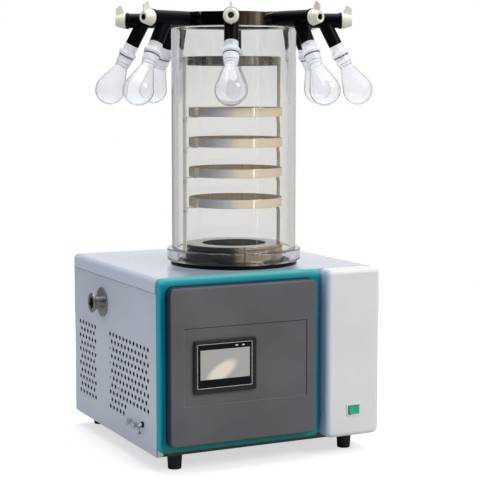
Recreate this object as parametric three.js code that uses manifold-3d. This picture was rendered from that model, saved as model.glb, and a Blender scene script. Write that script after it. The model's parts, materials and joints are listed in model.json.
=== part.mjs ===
// Benchtop manifold freeze dryer: steel cabinet, clear drying chamber with trays, and a manifold
// head with eight rubber valves and flasks. Millimetres, +Z up.
//
// While it is built, X runs right from the outside of the left side panel, Y runs back from the
// front edge of the side panels and Z runs up from the table. The finished group is shifted so
// that its origin lies on the table under the middle of its outline.
import * as THREE from 'three';
import { mergeVertices } from 'three/addons/utils/BufferGeometryUtils.js';
import Module from 'manifold-3d';

const wasm = await Module();
wasm.setup();

// ---------------------------------------------------------------- driving dimensions

const FIT = 0.3; // gap between pieces that touch across a turned or cut face
const RUN = 0.5; // gap round a piece that turns
const OVERLAP = 0.5; // how deep two forms of one welded or moulded piece reach into each other

// How many flat sides stand for a full circle
const ROUND = 24; // chamber and drum
const TRAP_SIDES = 20;
const TRAY_SIDES = 20;
const HIDDEN_SIDES = 12;
const FLASK_SIDES = 8;
const VALVE_SIDES = 8;
const PLUG_SIDES = 8;
const BORE_SIDES = 8;
const SMALL_SIDES = 8;
const VENT_SIDES = 5;

// Cabinet of folded sheet steel
const CABINET_WIDTH = 470;
const CABINET_DEPTH = 456;
const CABINET_BOTTOM = 31;
const CABINET_TOP = 374;
const SHEET = 1.5;
const PAN_FLOOR = 2;
const PAN_LIP = 26;
const LID_SKIRT = 28;
const LID_BEND = 10;
const FLANGE = 14;
const PANEL_CORNER = 5;

// Feet
const FOOT_TOP_RADIUS = 15;
const FOOT_BOTTOM_RADIUS = 13;
const FOOT_RECESS_RADIUS = 6;
const FOOT_RECESS_DEPTH = 8;
const FOOT_INSET_X = 47;
const FOOT_INSET_Y = 23;

// Perforation of the left side panel: round holes in staggered rows
const VENT_RADIUS = 4.9; // to the corners of each hole
const VENT_PITCH = 18.4;
const VENT_ROW_PITCH = 15;
const VENT_ROWS = 11;
const VENT_TOP = CABINET_BOTTOM + 201;
const VENT_FIELDS = [
  { first: CABINET_DEPTH - 34, columns: 6, rowColumns: {}, blanks: [] },
  {
    first: 243,
    columns: 12,
    rowColumns: { 9: 5, 10: 5 }, // the two lowest rows stop before the fittings
    blanks: [[2, 0], [4, 0], [6, 0], [7, 2]], // screws take the place of these holes
  },
];

// Slots of the right side panel and of the rear panel
const SLOT_WIDTH = 5;
const SLOT_LENGTH = 70;
const SLOT_PITCH = 16;
const SIDE_SLOTS = 6;
const SIDE_SLOT_Y = CABINET_DEPTH - 136;
const REAR_SLOTS = 6;
const REAR_SLOT_X = CABINET_WIDTH - 180;
const SLOT_Z = CABINET_BOTTOM + 89;

// Moulded front: teal bezel, grey panel, white column
const WALL = 3;
const COLUMN_WIDTH = 120;
const COLUMN_LEFT = CABINET_WIDTH - COLUMN_WIDTH;
const COLUMN_BOTTOM = CABINET_BOTTOM + 6;
const COLUMN_FRONT = -38;
const COLUMN_CORNER = 13;
const COLUMN_EDGE = 10;
const BEZEL_RIGHT = COLUMN_LEFT - 3;
const BEZEL_BOTTOM = CABINET_BOTTOM + 8;
const BEZEL_TOP = CABINET_TOP + 1;
const BEZEL_FRONT = -15;
const BEZEL_CORNER = 11;
const BEZEL_EDGE = 4;
const PANEL_LEFT = 14;
const PANEL_RIGHT = BEZEL_RIGHT - 19;
const PANEL_BOTTOM = BEZEL_BOTTOM + 15;
const PANEL_TOP = BEZEL_TOP - 16;
const PANEL_FRONT = -36;
const PANEL_RADIUS = 9;
const PANEL_EDGE = 3.5;

// Label field: a shallow rectangle sunk into the grey panel, with the screen in its left half
const FIELD_LEFT = PANEL_LEFT + 28;
const FIELD_RIGHT = PANEL_RIGHT - 23;
const FIELD_BOTTOM = PANEL_BOTTOM + 76;
const FIELD_TOP = FIELD_BOTTOM + 151;
const FIELD_DEPTH = 1;
const FIELD_FLOOR = PANEL_FRONT + FIELD_DEPTH;

// Touch screen module
const SCREEN_LEFT = FIELD_LEFT + 19;
const SCREEN_BOTTOM = FIELD_BOTTOM + 24;
const SCREEN_WIDTH = 131;
const SCREEN_HEIGHT = 102;
const SCREEN_PROUD = 5;
const SCREEN_CORNER = 4;
const SCREEN_EDGE = 1.2;
const SCREEN_RIM = 5;
const SCREEN_RECESS = 0.8;
const SCREEN_LAP = 5;
const SCREEN_BODY_DEPTH = 30;

// Mains rocker switch
const SWITCH_X = CABINET_WIDTH - COLUMN_WIDTH / 2 - 0.5;
const SWITCH_Z = COLUMN_BOTTOM + 54;
const SWITCH_WIDTH = 32;
const SWITCH_HEIGHT = 25;
const SWITCH_PROUD = 2;
const SWITCH_CORNER = 2;
const SWITCH_RIM = 3.2;
const SWITCH_LAP = 1.6;
const SWITCH_BODY_DEPTH = 19;
const ROCKER_TILT = 9; // degrees either side of level
const ROCKER_PIVOT_DEPTH = 5; // behind the face of the switch

// Vacuum port on the left side panel
const PORT_Y = 284;
const PORT_Z = CABINET_TOP - 82.5;
const PORT_REACH = 25;
const PORT_FLANGE_RADIUS = 20;
const PORT_FLANGE_LIP = 3;
const PORT_FLANGE_TAPER = 3.5;
const PORT_TUBE_RADIUS = 14;
const PORT_BORE_RADIUS = 12;
const PORT_PLATE_RADIUS = 30;
const PORT_PLATE = 3;
const PORT_TRAP_ASIDE = 45; // how far left of the chamber axis the pipe meets the trap
const PORT_SIDES = 14;

// Small fittings low on the left side panel
const FITTING_Z = CABINET_BOTTOM + 44;
const DRAIN_VALVE_Y = 128;
const AIR_VALVE_Y = 95;
const VALVE_NUT_RADIUS = 5;
const VALVE_NUT = 4.5;
const VALVE_STEM_RADIUS = 2;
const VALVE_TAIL = 14;
const HAND_KNOB_RADIUS = 6.5;
const HAND_KNOB_LENGTH = 7;
const SPOUT_Y = 68;
const SPOUT_Z = FITTING_Z + 6;
const SPOUT_COLLAR_RADIUS = 6;
const SPOUT_COLLAR = 3;
const SPOUT_TUBE_RADIUS = 3.2;
const SPOUT_BORE_RADIUS = 1.8;
const SPOUT_DROP = 18;
const SPOUT_OUT = 7;

// Cold trap under the chamber
const CHAMBER_X = CABINET_WIDTH / 2 + 6;
const CHAMBER_Y = 162;
const TRAP_RADIUS = 95;
const TRAP_WALL = 1.5;
const TRAP_FLANGE_RADIUS = 118;
const TRAP_DEPTH = 162;
const TRAP_DRAIN_RADIUS = 6;
const TRAP_DRAIN_LENGTH = 34;
const COIL_TUBE_RADIUS = 4;
const COIL_TURNS = 3;
const COIL_PITCH = 16;
const FOAM_WALL = 24;
const FOAM_FLOOR = 20;

// Chamber
const GASKET_INNER_RADIUS = 104;
const GASKET_RADIUS = 121;
const GASKET_HEIGHT = 7.5;
const GASKET_TOP = CABINET_TOP + SHEET + GASKET_HEIGHT;
const TUBE_RADIUS = 126;
const TUBE_WALL = 10;
const TUBE_LENGTH = 467;
const TUBE_TOP = GASKET_TOP + TUBE_LENGTH;
const TUBE_FLANGE_RADIUS = 136;
const TUBE_FLANGE = 23;
const TUBE_FLANGE_ROUND = 5;

// Tray rack and trays
const RACK_RING_RADIUS = 100;
const RACK_RING_HOLE = 65;
const RACK_RING_TOP = GASKET_TOP + 33;
const RACK_SHEET = 1.5;
const POST_RADIUS = 107; // distance of the posts' outer faces from the chamber axis
const POST_WIDTH = 15;
const POST_THICKNESS = 2;
const POST_FOOT = 26;
const HOOP_RADIUS = 95;
const HOOP_TOP = TUBE_TOP - 58;
const HOOP_BOTTOM = HOOP_TOP - 17;
const HOOP_SHEET = 1.2;
const LEDGE_REACH = 26;
const LEDGE_DROP = 12;
const TRAY_RADIUS = 95;
const TRAY_RIM = 18;
const TRAY_SHEET = 1.2;
const TRAY_COUNT = 4;
const TRAY_PITCH = 60.3;
const TRAY_LOWEST = RACK_RING_TOP + 76;
const TRAY_ASIDE = 4; // the trays lie a little to the right of the middle

// Manifold drum and its nipples
const DRUM_RADIUS = 126;
const DRUM_HEIGHT = 28;
const DRUM_TOP = TUBE_TOP + DRUM_HEIGHT;
const DRUM_WALL = 3;
const DRUM_MOUTH_RADIUS = 92;
const DRUM_ROUND = 2;
const VALVE_Z = TUBE_TOP + DRUM_HEIGHT / 2;
const STATION_COUNT = 8;
const STATION_FIRST = -27; // degrees from straight ahead, towards the left
const NIPPLE_RADIUS = 9.4;
const NIPPLE_BORE_RADIUS = 7.4;
const NIPPLE_END = 160;

// Rubber valve
const BARREL_END = 217;
const BARREL_RADIUS = 14.65;
const BEAD_RADIUS = 16.4;
const BEAD_LENGTH = 6.4;
const BRANCH_FROM = 180.6;
const BRANCH_TILT = 27; // degrees out from straight down
const BRANCH_LENGTH = 54.5;
const BRANCH_RADIUS = 13.75;
const PLUG_BORE_RADIUS = 9.6;

// Valve plug with its finned knob
const PLUG_RADIUS = 8.6;
const PLUG_LENGTH = 51;
const PLUG_WALL = 2.4;
const PLUG_PORT_RADIUS = 5;
const KNOB_LENGTH = 20.5;
const KNOB_INNER_RADIUS = 15;
const KNOB_OUTER_RADIUS = 10.7;
const KNOB_BORE_RADIUS = 5.75;
const KNOB_BORE_DEPTH = 32;
const FIN_THICKNESS = 3.5;
const FIN_HEIGHT = 31;

// Flask with its adapter
const SPIGOT_RADIUS = 8.8;
const SPIGOT_BORE_RADIUS = 6.6;
const SPIGOT_LENGTH = 18;
const NECK_RADIUS = 13.8;
const COLLAR_RADIUS = 18.4;
const COLLAR_AT = 20;
const JOINT_FROM = 27; // the flask's own neck, under the adapter's collar
const JOINT_RADIUS = 15.4;
const JOINT_END = 49;
const JOINT_END_RADIUS = 12.9;
const BULB_RADIUS = 30;
const BULB_AT = 100;
const GLASS = 2;

// Refrigeration, fan and electrics inside the cabinet
const COMPRESSOR_FROM_RIGHT = 108;
const COMPRESSOR_FROM_BACK = 88;
const COMPRESSOR_RADIUS = 72;
const COMPRESSOR_HEIGHT = 170;
const COMPRESSOR_FOOT = 12;
const COMPRESSOR_FOOT_RADIUS = 9;
const COMPRESSOR_FOOT_INSET = 12;
const COMPRESSOR_PLATE = 3;
const COMPRESSOR_PLATE_CORNER = 12;
const COMPRESSOR_BEND = 14;
const COMPRESSOR_SEAM = 3;
const CONDENSER_LEFT = 12;
const CONDENSER_THICKNESS = 36;
const CONDENSER_LENGTH = 132;
const CONDENSER_FROM_BACK = 14;
const CONDENSER_HEIGHT = 213;
const CONDENSER_FINS = 10;
const CONDENSER_FIN = 1.6;
const CONDENSER_SPINE = 8;
const COWL_DEPTH = 26;
const COWL_SHEET = 2;
const FAN_RADIUS = 60;
const FAN_HUB_RADIUS = 18;
const FAN_HUB_LENGTH = 16;
const FAN_BLADES = 5;
const FAN_BLADE_SHEET = 2;
const FAN_BLADE_PITCH = 28; // degrees
const MOTOR_RADIUS = 24;
const MOTOR_LENGTH = 30;
const SHAFT_RADIUS = 3;
const SHAFT_LENGTH = 18;
const BOX_FRONT = 14;
const BOX_LENGTH = 150;
const BOX_BOTTOM = CABINET_BOTTOM + 39;
const BOX_HEIGHT = 250;
const BOX_SHEET = 1.5;
const BOX_CLEAR = 2; // between the box and the trap's foam
const INLET_X = CABINET_WIDTH - 70;
const INLET_Z = CABINET_BOTTOM + 39;
const INLET_WIDTH = 28;
const INLET_HEIGHT = 21;
const INLET_LIP = 3;
const INLET_LIP_DEPTH = 2.5;
const INLET_BODY_DEPTH = 20;
const INLET_SOCKET_DEPTH = 16;
const INLET_WALL = 2;
const INLET_PIN = 4;

// ---------------------------------------------------------------- solids

const WELD = 1e-4;

// A closed three.js geometry as a manifold solid with its faces pointing out.
function toSolid(geometry) {
  const bare = geometry.clone();
  bare.deleteAttribute('normal');
  bare.deleteAttribute('uv');
  const merged = mergeVertices(bare, WELD);
  const points = merged.getAttribute('position');
  const index = merged.getIndex().array;
  const corner = [new THREE.Vector3(), new THREE.Vector3(), new THREE.Vector3()];
  const triangles = [];
  let volume = 0;
  for (let i = 0; i < index.length; i += 3) {
    const [a, b, c] = index.slice(i, i + 3);
    if (a === b || b === c || c === a) continue;
    triangles.push(a, b, c);
    [a, b, c].forEach((vertex, k) => corner[k].fromBufferAttribute(points, vertex));
    volume += corner[0].dot(corner[1].cross(corner[2]));
  }
  if (volume < 0) triangles.reverse();
  return new wasm.Manifold(new wasm.Mesh({
    numProp: 3,
    vertProperties: new Float32Array(points.array),
    triVerts: new Uint32Array(triangles),
  }));
}

function toGeometry(solid) {
  const mesh = solid.getMesh();
  const geometry = new THREE.BufferGeometry();
  geometry.setAttribute('position', new THREE.BufferAttribute(new Float32Array(mesh.vertProperties), 3));
  geometry.setIndex(new THREE.BufferAttribute(new Uint32Array(mesh.triVerts), 1));
  const faceted = geometry.toNonIndexed();
  faceted.computeVertexNormals();
  return faceted;
}

const join = (...solids) => solids.reduce((whole, next) => whole.add(next));
const cut = (solid, ...tools) => tools.reduce((rest, tool) => rest.subtract(tool), solid);
const common = (...solids) => solids.reduce((whole, next) => whole.intersect(next));

// ---------------------------------------------------------------- outlines and basic forms

const radians = THREE.MathUtils.degToRad;

function rectangle(u0, v0, u1, v1, radius = 0, Kind = THREE.Shape) {
  const outline = new Kind();
  if (radius <= 0) {
    outline.moveTo(u0, v0);
    outline.lineTo(u1, v0);
    outline.lineTo(u1, v1);
    outline.lineTo(u0, v1);
    outline.closePath();
    return outline;
  }
  outline.absarc(u1 - radius, v0 + radius, radius, -Math.PI / 2, 0);
  outline.absarc(u1 - radius, v1 - radius, radius, 0, Math.PI / 2);
  outline.absarc(u0 + radius, v1 - radius, radius, Math.PI / 2, Math.PI);
  outline.absarc(u0 + radius, v0 + radius, radius, Math.PI, Math.PI * 1.5);
  outline.closePath();
  return outline;
}

function polygon(points, Kind = THREE.Shape) {
  return new Kind(points.map(([u, v]) => new THREE.Vector2(u, v)));
}

function regular(u, v, radius, sides, Kind = THREE.Path) {
  const corners = Array.from({ length: sides }, (_, k) => {
    const angle = (Math.PI * 2 * (k + 0.5)) / sides;
    return [u + radius * Math.cos(angle), v + radius * Math.sin(angle)];
  });
  return polygon(corners, Kind);
}

// Where an outline's two directions and its depth go: across x the outline lies in Y and Z,
// across y in X and Z, across z in X and Y.
const FACING = {
  x: new THREE.Matrix4().makeBasis(
    new THREE.Vector3(0, 1, 0), new THREE.Vector3(0, 0, 1), new THREE.Vector3(1, 0, 0)),
  y: new THREE.Matrix4().makeBasis(
    new THREE.Vector3(1, 0, 0), new THREE.Vector3(0, 0, 1), new THREE.Vector3(0, 1, 0)),
  z: new THREE.Matrix4(),
};

// A flat outline given depth along x, y or z.
function slab(outline, across, from, to, curveSegments = 2) {
  const geometry = new THREE.ExtrudeGeometry(outline, {
    depth: to - from, bevelEnabled: false, curveSegments,
  });
  geometry.translate(0, 0, from);
  geometry.applyMatrix4(FACING[across]);
  return toSolid(geometry);
}

function block(x0, x1, y0, y1, z0, z1) {
  return slab(rectangle(x0, y0, x1, y1), 'z', z0, z1);
}

// A turned piece: pairs of radius and distance along the axis, which runs along x, y or z.
function turned(profile, sides, along = 'z', at = [0, 0, 0]) {
  const points = profile.map(([radius, distance]) => new THREE.Vector2(radius, distance));
  const geometry = new THREE.LatheGeometry(points, sides);
  if (along === 'z') geometry.rotateX(Math.PI / 2);
  if (along === 'x') geometry.rotateZ(-Math.PI / 2);
  geometry.translate(...at);
  return toSolid(geometry);
}

function rod(radius, from, to, sides, along = 'z', at = [0, 0, 0]) {
  return turned([[0, from], [radius, from], [radius, to], [0, to]], sides, along, at);
}

function pipe(inner, outer, from, to, sides, along = 'z', at = [0, 0, 0]) {
  const section = [[inner, from], [outer, from], [outer, to], [inner, to], [inner, from]];
  return turned(section, sides, along, at);
}

// A moulding that stands out of the cabinet front, with rounded corners and a softened front edge.
function moulding({ x0, x1, z0, z1, front, back, corner, edge }) {
  const outline = rectangle(x0, z0, x1, z1, corner);
  if (edge <= 0) return slab(outline, 'y', front, back);
  const geometry = new THREE.ExtrudeGeometry(outline, {
    depth: back - front, bevelEnabled: true, bevelThickness: edge, bevelSize: edge,
    bevelOffset: -edge, bevelSegments: 2, curveSegments: 2,
  });
  geometry.translate(0, 0, front + edge);
  geometry.applyMatrix4(FACING.y);
  const behind = block(x0 - 1, x1 + 1, back, back + 2 * edge + 1, z0 - 1, z1 + 1);
  return cut(toSolid(geometry), behind);
}

// The same moulding hollowed from behind to an even wall.
function shellMoulding(size, wall) {
  const hollow = {
    x0: size.x0 + wall,
    x1: size.x1 - wall,
    z0: size.z0 + wall,
    z1: size.z1 - wall,
    front: size.front + wall,
    back: size.back + 1,
    corner: size.corner - wall,
    edge: size.edge - wall,
  };
  return cut(moulding(size), moulding(hollow));
}

// ---------------------------------------------------------------- finishes

const finish = (color, roughness, metalness, extra = {}) =>
  new THREE.MeshStandardMaterial({ color, roughness, metalness, ...extra });

const FINISH = {
  panelPaint: () => finish(0xc9ced6, 0.55, 0),
  columnPaint: () => finish(0xe4e4e2, 0.5, 0),
  darkPaint: () => finish(0x55595c, 0.6, 0.2),
  teal: () => finish(0x078a95, 0.35, 0),
  greyPlastic: () => finish(0x5c5d60, 0.6, 0),
  blackPlastic: () => finish(0x1b1613, 0.35, 0),
  lightPlastic: () => finish(0xd5d7d4, 0.45, 0),
  greenPlastic: () => finish(0x10a880, 0.3, 0),
  ivoryPlastic: () => finish(0xece8dc, 0.4, 0),
  rubber: () => finish(0x101114, 0.7, 0),
  stainless: () => finish(0xb9bbbd, 0.25, 0.95),
  aluminium: () => finish(0xaeb1b4, 0.4, 0.8),
  foam: () => finish(0xd9c79a, 0.95, 0),
  enamel: () => finish(0x15171a, 0.4, 0.3),
  acrylic: () => finish(0xeef3f5, 0.05, 0, { transparent: true, opacity: 0.25 }),
  glass: () => finish(0xe8eef2, 0.05, 0, { transparent: true, opacity: 0.35 }),
};

const machine = new THREE.Group();

function place(name, geometry, material, parent = machine) {
  const mesh = new THREE.Mesh(geometry, material);
  mesh.name = name;
  parent.add(mesh);
  return mesh;
}

// ---------------------------------------------------------------- cabinet sheets

const INSIDE = SHEET + FIT; // where a sheet lies that fits inside a side or rear sheet
const LID_LINE = CABINET_TOP - LID_SKIRT;
const SIDE_TOP = CABINET_TOP - LID_BEND - SHEET;

function basePan() {
  const floorTop = CABINET_BOTTOM + PAN_FLOOR;
  const lipTop = CABINET_BOTTOM + PAN_LIP;
  const lipLeft = FLANGE + FIT;
  const right = CABINET_WIDTH - INSIDE;
  const floor = block(INSIDE, right, INSIDE, CABINET_DEPTH - INSIDE, CABINET_BOTTOM, floorTop);
  const apron = block(lipLeft, CABINET_WIDTH - lipLeft, 0, INSIDE + OVERLAP, CABINET_BOTTOM, floorTop);
  const frontLip = block(lipLeft, CABINET_WIDTH - lipLeft, 0, SHEET, CABINET_BOTTOM, lipTop);
  const lips = [INSIDE, right - SHEET].map((x) =>
    block(x, x + SHEET, INSIDE, CABINET_DEPTH - INSIDE - SHEET - FIT, CABINET_BOTTOM, lipTop));
  return join(floor, apron, frontLip, ...lips);
}

function ventHoles() {
  return VENT_FIELDS.flatMap(({ first, columns, rowColumns, blanks }) => {
    const holes = [];
    for (let row = 0; row < VENT_ROWS; row += 1) {
      const odd = row % 2;
      const count = rowColumns[row] ?? columns - odd;
      for (let column = 0; column < count; column += 1) {
        if (blanks.some(([r, c]) => r === row && c === column)) continue;
        const y = first - (column + odd / 2) * VENT_PITCH;
        const z = VENT_TOP - row * VENT_ROW_PITCH;
        holes.push(regular(y, z, VENT_RADIUS, VENT_SIDES));
      }
    }
    return holes;
  });
}

function uprightSlots(first, count) {
  return Array.from({ length: count }, (_, k) => {
    const u = first + k * SLOT_PITCH;
    const half = SLOT_WIDTH / 2;
    return polygon([
      [u - half, SLOT_Z + half], [u, SLOT_Z], [u + half, SLOT_Z + half],
      [u + half, SLOT_Z + SLOT_LENGTH - half], [u, SLOT_Z + SLOT_LENGTH],
      [u - half, SLOT_Z + SLOT_LENGTH - half],
    ], THREE.Path);
  });
}

// A side panel stands outside the base pan. It has a return flange at the front and at the back,
// and above the lid line it steps back behind the front wall of the lid.
function sidePanel(holes) {
  const outline = new THREE.Shape();
  const low = CABINET_BOTTOM;
  outline.moveTo(PANEL_CORNER, low);
  outline.lineTo(CABINET_DEPTH, low);
  outline.lineTo(CABINET_DEPTH, SIDE_TOP);
  outline.lineTo(INSIDE, SIDE_TOP);
  outline.lineTo(INSIDE, LID_LINE - FIT);
  outline.lineTo(0, LID_LINE - FIT);
  outline.lineTo(0, low + PANEL_CORNER);
  outline.absarc(PANEL_CORNER, low + PANEL_CORNER, PANEL_CORNER, Math.PI, Math.PI * 1.5);
  outline.holes.push(...holes);
  const sheet = slab(outline, 'x', 0, SHEET);
  const flanges = [0, CABINET_DEPTH - SHEET].map((y) =>
    block(0, FLANGE, y, y + SHEET, low + PANEL_CORNER, LID_LINE - FIT));
  return join(sheet, ...flanges);
}

function leftSidePanel() {
  const clear = SHEET + 1;
  const holes = [
    rod(PORT_TUBE_RADIUS + FIT, -1, clear, PORT_SIDES, 'x', [0, PORT_Y, PORT_Z]),
    ...[DRAIN_VALVE_Y, AIR_VALVE_Y].map((y) =>
      rod(VALVE_STEM_RADIUS + FIT + 1, -1, clear, SMALL_SIDES, 'x', [0, y, FITTING_Z])),
    rod(SPOUT_TUBE_RADIUS + FIT, -1, clear, SMALL_SIDES, 'x', [0, SPOUT_Y, SPOUT_Z]),
  ];
  return cut(sidePanel(ventHoles()), ...holes);
}

function rightSidePanel() {
  const mirrored = toGeometry(sidePanel(uprightSlots(SIDE_SLOT_Y, SIDE_SLOTS)));
  mirrored.scale(-1, 1, 1);
  mirrored.translate(CABINET_WIDTH, 0, 0);
  return toSolid(mirrored);
}

const REAR_FACE = CABINET_DEPTH - SHEET - FIT; // outer face of the rear panel

function rearPanel() {
  const outline = rectangle(
    INSIDE, CABINET_BOTTOM + PAN_FLOOR + FIT, CABINET_WIDTH - INSIDE, SIDE_TOP);
  const inlet = rectangle(
    INLET_X - INLET_WIDTH / 2 - FIT, INLET_Z - INLET_HEIGHT / 2 - FIT,
    INLET_X + INLET_WIDTH / 2 + FIT, INLET_Z + INLET_HEIGHT / 2 + FIT, 0, THREE.Path);
  outline.holes.push(inlet, ...uprightSlots(REAR_SLOT_X, REAR_SLOTS));
  return slab(outline, 'y', REAR_FACE - SHEET, REAR_FACE);
}

// The drawn top cover: rounded at the sides and the back, flat across the front.
function topCover() {
  function drawn(reach, top, bend, front) {
    const across = new THREE.Shape();
    across.moveTo(-reach, LID_LINE);
    across.lineTo(CABINET_WIDTH + reach, LID_LINE);
    across.absarc(CABINET_WIDTH + reach - bend, top - bend, bend, 0, Math.PI / 2);
    across.absarc(bend - reach, top - bend, bend, Math.PI / 2, Math.PI);
    const back = CABINET_DEPTH + reach;
    const along = new THREE.Shape();
    along.moveTo(front, LID_LINE);
    along.lineTo(back, LID_LINE);
    along.absarc(back - bend, top - bend, bend, 0, Math.PI / 2);
    along.lineTo(front, top);
    return common(
      slab(across, 'y', front, back),
      slab(along, 'x', -reach, CABINET_WIDTH + reach),
    );
  }
  const outer = drawn(SHEET + FIT, CABINET_TOP, LID_BEND, 0);
  const inner = drawn(FIT, CABINET_TOP - SHEET, LID_BEND - SHEET, SHEET);
  const below = block(
    -FIT, CABINET_WIDTH + FIT, SHEET, CABINET_DEPTH + FIT, LID_LINE - 1, LID_LINE + 1);
  const mouth = rod(
    TRAP_RADIUS + TRAP_WALL + FIT, LID_LINE, CABINET_TOP + 1, TRAP_SIDES, 'z', [CHAMBER_X, CHAMBER_Y, 0]);
  return cut(outer, inner, below, mouth);
}

function foot() {
  return turned([
    [0, FOOT_RECESS_DEPTH], [FOOT_RECESS_RADIUS, FOOT_RECESS_DEPTH], [FOOT_RECESS_RADIUS, 0],
    [FOOT_BOTTOM_RADIUS - 1, 0], [FOOT_BOTTOM_RADIUS, 1],
    [FOOT_TOP_RADIUS, CABINET_BOTTOM], [0, CABINET_BOTTOM],
  ], 12);
}

place('base_pan', toGeometry(basePan()), FINISH.darkPaint());
place('left_side_panel', toGeometry(leftSidePanel()), FINISH.panelPaint());
place('right_side_panel', toGeometry(rightSidePanel()), FINISH.panelPaint());
place('rear_panel', toGeometry(rearPanel()), FINISH.panelPaint());
place('top_cover', toGeometry(topCover()), FINISH.panelPaint());

const footGeometry = toGeometry(foot());
const FOOT_PLACES = {
  foot_front_left: [FOOT_INSET_X, FOOT_INSET_Y],
  foot_front_right: [CABINET_WIDTH - FOOT_INSET_X, FOOT_INSET_Y],
  foot_rear_left: [FOOT_INSET_X, CABINET_DEPTH - FOOT_INSET_Y],
  foot_rear_right: [CABINET_WIDTH - FOOT_INSET_X, CABINET_DEPTH - FOOT_INSET_Y],
};
for (const [name, [x, y]] of Object.entries(FOOT_PLACES)) {
  place(name, footGeometry, FINISH.rubber()).position.set(x, y, 0);
}

// ---------------------------------------------------------------- moulded front

function frontBezel() {
  const size = {
    x0: 0, x1: BEZEL_RIGHT, z0: BEZEL_BOTTOM, z1: BEZEL_TOP,
    front: BEZEL_FRONT, back: -FIT, corner: BEZEL_CORNER, edge: BEZEL_EDGE,
  };
  const opening = {
    x0: PANEL_LEFT - FIT, x1: PANEL_RIGHT + FIT, z0: PANEL_BOTTOM - FIT, z1: PANEL_TOP + FIT,
    corner: PANEL_RADIUS + FIT,
  };
  const around = {
    x0: opening.x0 - WALL, x1: opening.x1 + WALL, z0: opening.z0 - WALL, z1: opening.z1 + WALL,
    front: BEZEL_FRONT + WALL, back: 0, corner: opening.corner + WALL, edge: 0,
  };
  const channel = cut(
    moulding({
      x0: WALL, x1: BEZEL_RIGHT - WALL, z0: BEZEL_BOTTOM + WALL, z1: BEZEL_TOP - WALL,
      front: BEZEL_FRONT + WALL, back: 0, corner: BEZEL_CORNER - WALL, edge: BEZEL_EDGE - WALL,
    }),
    moulding({ ...around, front: BEZEL_FRONT, back: 1 }),
  );
  const window = moulding({ ...opening, front: BEZEL_FRONT - 1, back: 1, edge: 0 });
  return cut(moulding(size), channel, window);
}

function frontPanel() {
  const shell = shellMoulding({
    x0: PANEL_LEFT, x1: PANEL_RIGHT, z0: PANEL_BOTTOM, z1: PANEL_TOP,
    front: PANEL_FRONT, back: -FIT, corner: PANEL_RADIUS, edge: PANEL_EDGE,
  }, WALL);
  const field = block(
    FIELD_LEFT, FIELD_RIGHT, PANEL_FRONT - 1, FIELD_FLOOR, FIELD_BOTTOM, FIELD_TOP);
  const cutout = rectangle(
    SCREEN_LEFT + SCREEN_LAP - FIT, SCREEN_BOTTOM + SCREEN_LAP - FIT,
    SCREEN_LEFT + SCREEN_WIDTH - SCREEN_LAP + FIT, SCREEN_BOTTOM + SCREEN_HEIGHT - SCREEN_LAP + FIT);
  return cut(shell, field, slab(cutout, 'y', PANEL_FRONT - 1, PANEL_FRONT + WALL + 1));
}

function columnCover() {
  const shell = shellMoulding({
    x0: COLUMN_LEFT, x1: CABINET_WIDTH, z0: COLUMN_BOTTOM, z1: CABINET_TOP,
    front: COLUMN_FRONT, back: -FIT, corner: COLUMN_CORNER, edge: COLUMN_EDGE,
  }, WALL);
  const halfWidth = SWITCH_WIDTH / 2 - SWITCH_LAP + FIT;
  const halfHeight = SWITCH_HEIGHT / 2 - SWITCH_LAP + FIT;
  const cutout = rectangle(
    SWITCH_X - halfWidth, SWITCH_Z - halfHeight, SWITCH_X + halfWidth, SWITCH_Z + halfHeight);
  return cut(shell, slab(cutout, 'y', COLUMN_FRONT - 1, COLUMN_FRONT + WALL + 1));
}

// The module's frame stands on the label field's floor and its body reaches through the cut-out.
function touchScreen() {
  const front = PANEL_FRONT - SCREEN_PROUD;
  const right = SCREEN_LEFT + SCREEN_WIDTH;
  const top = SCREEN_BOTTOM + SCREEN_HEIGHT;
  const frame = moulding({
    x0: SCREEN_LEFT, x1: right, z0: SCREEN_BOTTOM, z1: top,
    front, back: FIELD_FLOOR - FIT, corner: SCREEN_CORNER, edge: SCREEN_EDGE,
  });
  const body = block(
    SCREEN_LEFT + SCREEN_LAP, right - SCREEN_LAP, FIELD_FLOOR - FIT - OVERLAP,
    PANEL_FRONT + SCREEN_BODY_DEPTH, SCREEN_BOTTOM + SCREEN_LAP, top - SCREEN_LAP);
  const recess = block(
    SCREEN_LEFT + SCREEN_RIM, right - SCREEN_RIM, front - 1, front + SCREEN_RECESS,
    SCREEN_BOTTOM + SCREEN_RIM, top - SCREEN_RIM);
  return cut(join(frame, body), recess);
}

const SWITCH_FRONT = COLUMN_FRONT - SWITCH_PROUD;

function switchHousing() {
  const halfWidth = SWITCH_WIDTH / 2;
  const halfHeight = SWITCH_HEIGHT / 2;
  const frame = moulding({
    x0: SWITCH_X - halfWidth, x1: SWITCH_X + halfWidth,
    z0: SWITCH_Z - halfHeight, z1: SWITCH_Z + halfHeight,
    front: SWITCH_FRONT, back: COLUMN_FRONT - FIT, corner: SWITCH_CORNER, edge: 0,
  });
  const body = block(
    SWITCH_X - halfWidth + SWITCH_LAP, SWITCH_X + halfWidth - SWITCH_LAP,
    COLUMN_FRONT - FIT - OVERLAP, COLUMN_FRONT + SWITCH_BODY_DEPTH,
    SWITCH_Z - halfHeight + SWITCH_LAP, SWITCH_Z + halfHeight - SWITCH_LAP);
  const well = block(
    SWITCH_X - halfWidth + SWITCH_RIM, SWITCH_X + halfWidth - SWITCH_RIM,
    SWITCH_FRONT - 1, COLUMN_FRONT + SWITCH_BODY_DEPTH - WALL,
    SWITCH_Z - halfHeight + SWITCH_RIM, SWITCH_Z + halfHeight - SWITCH_RIM);
  return cut(join(frame, body), well);
}

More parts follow.
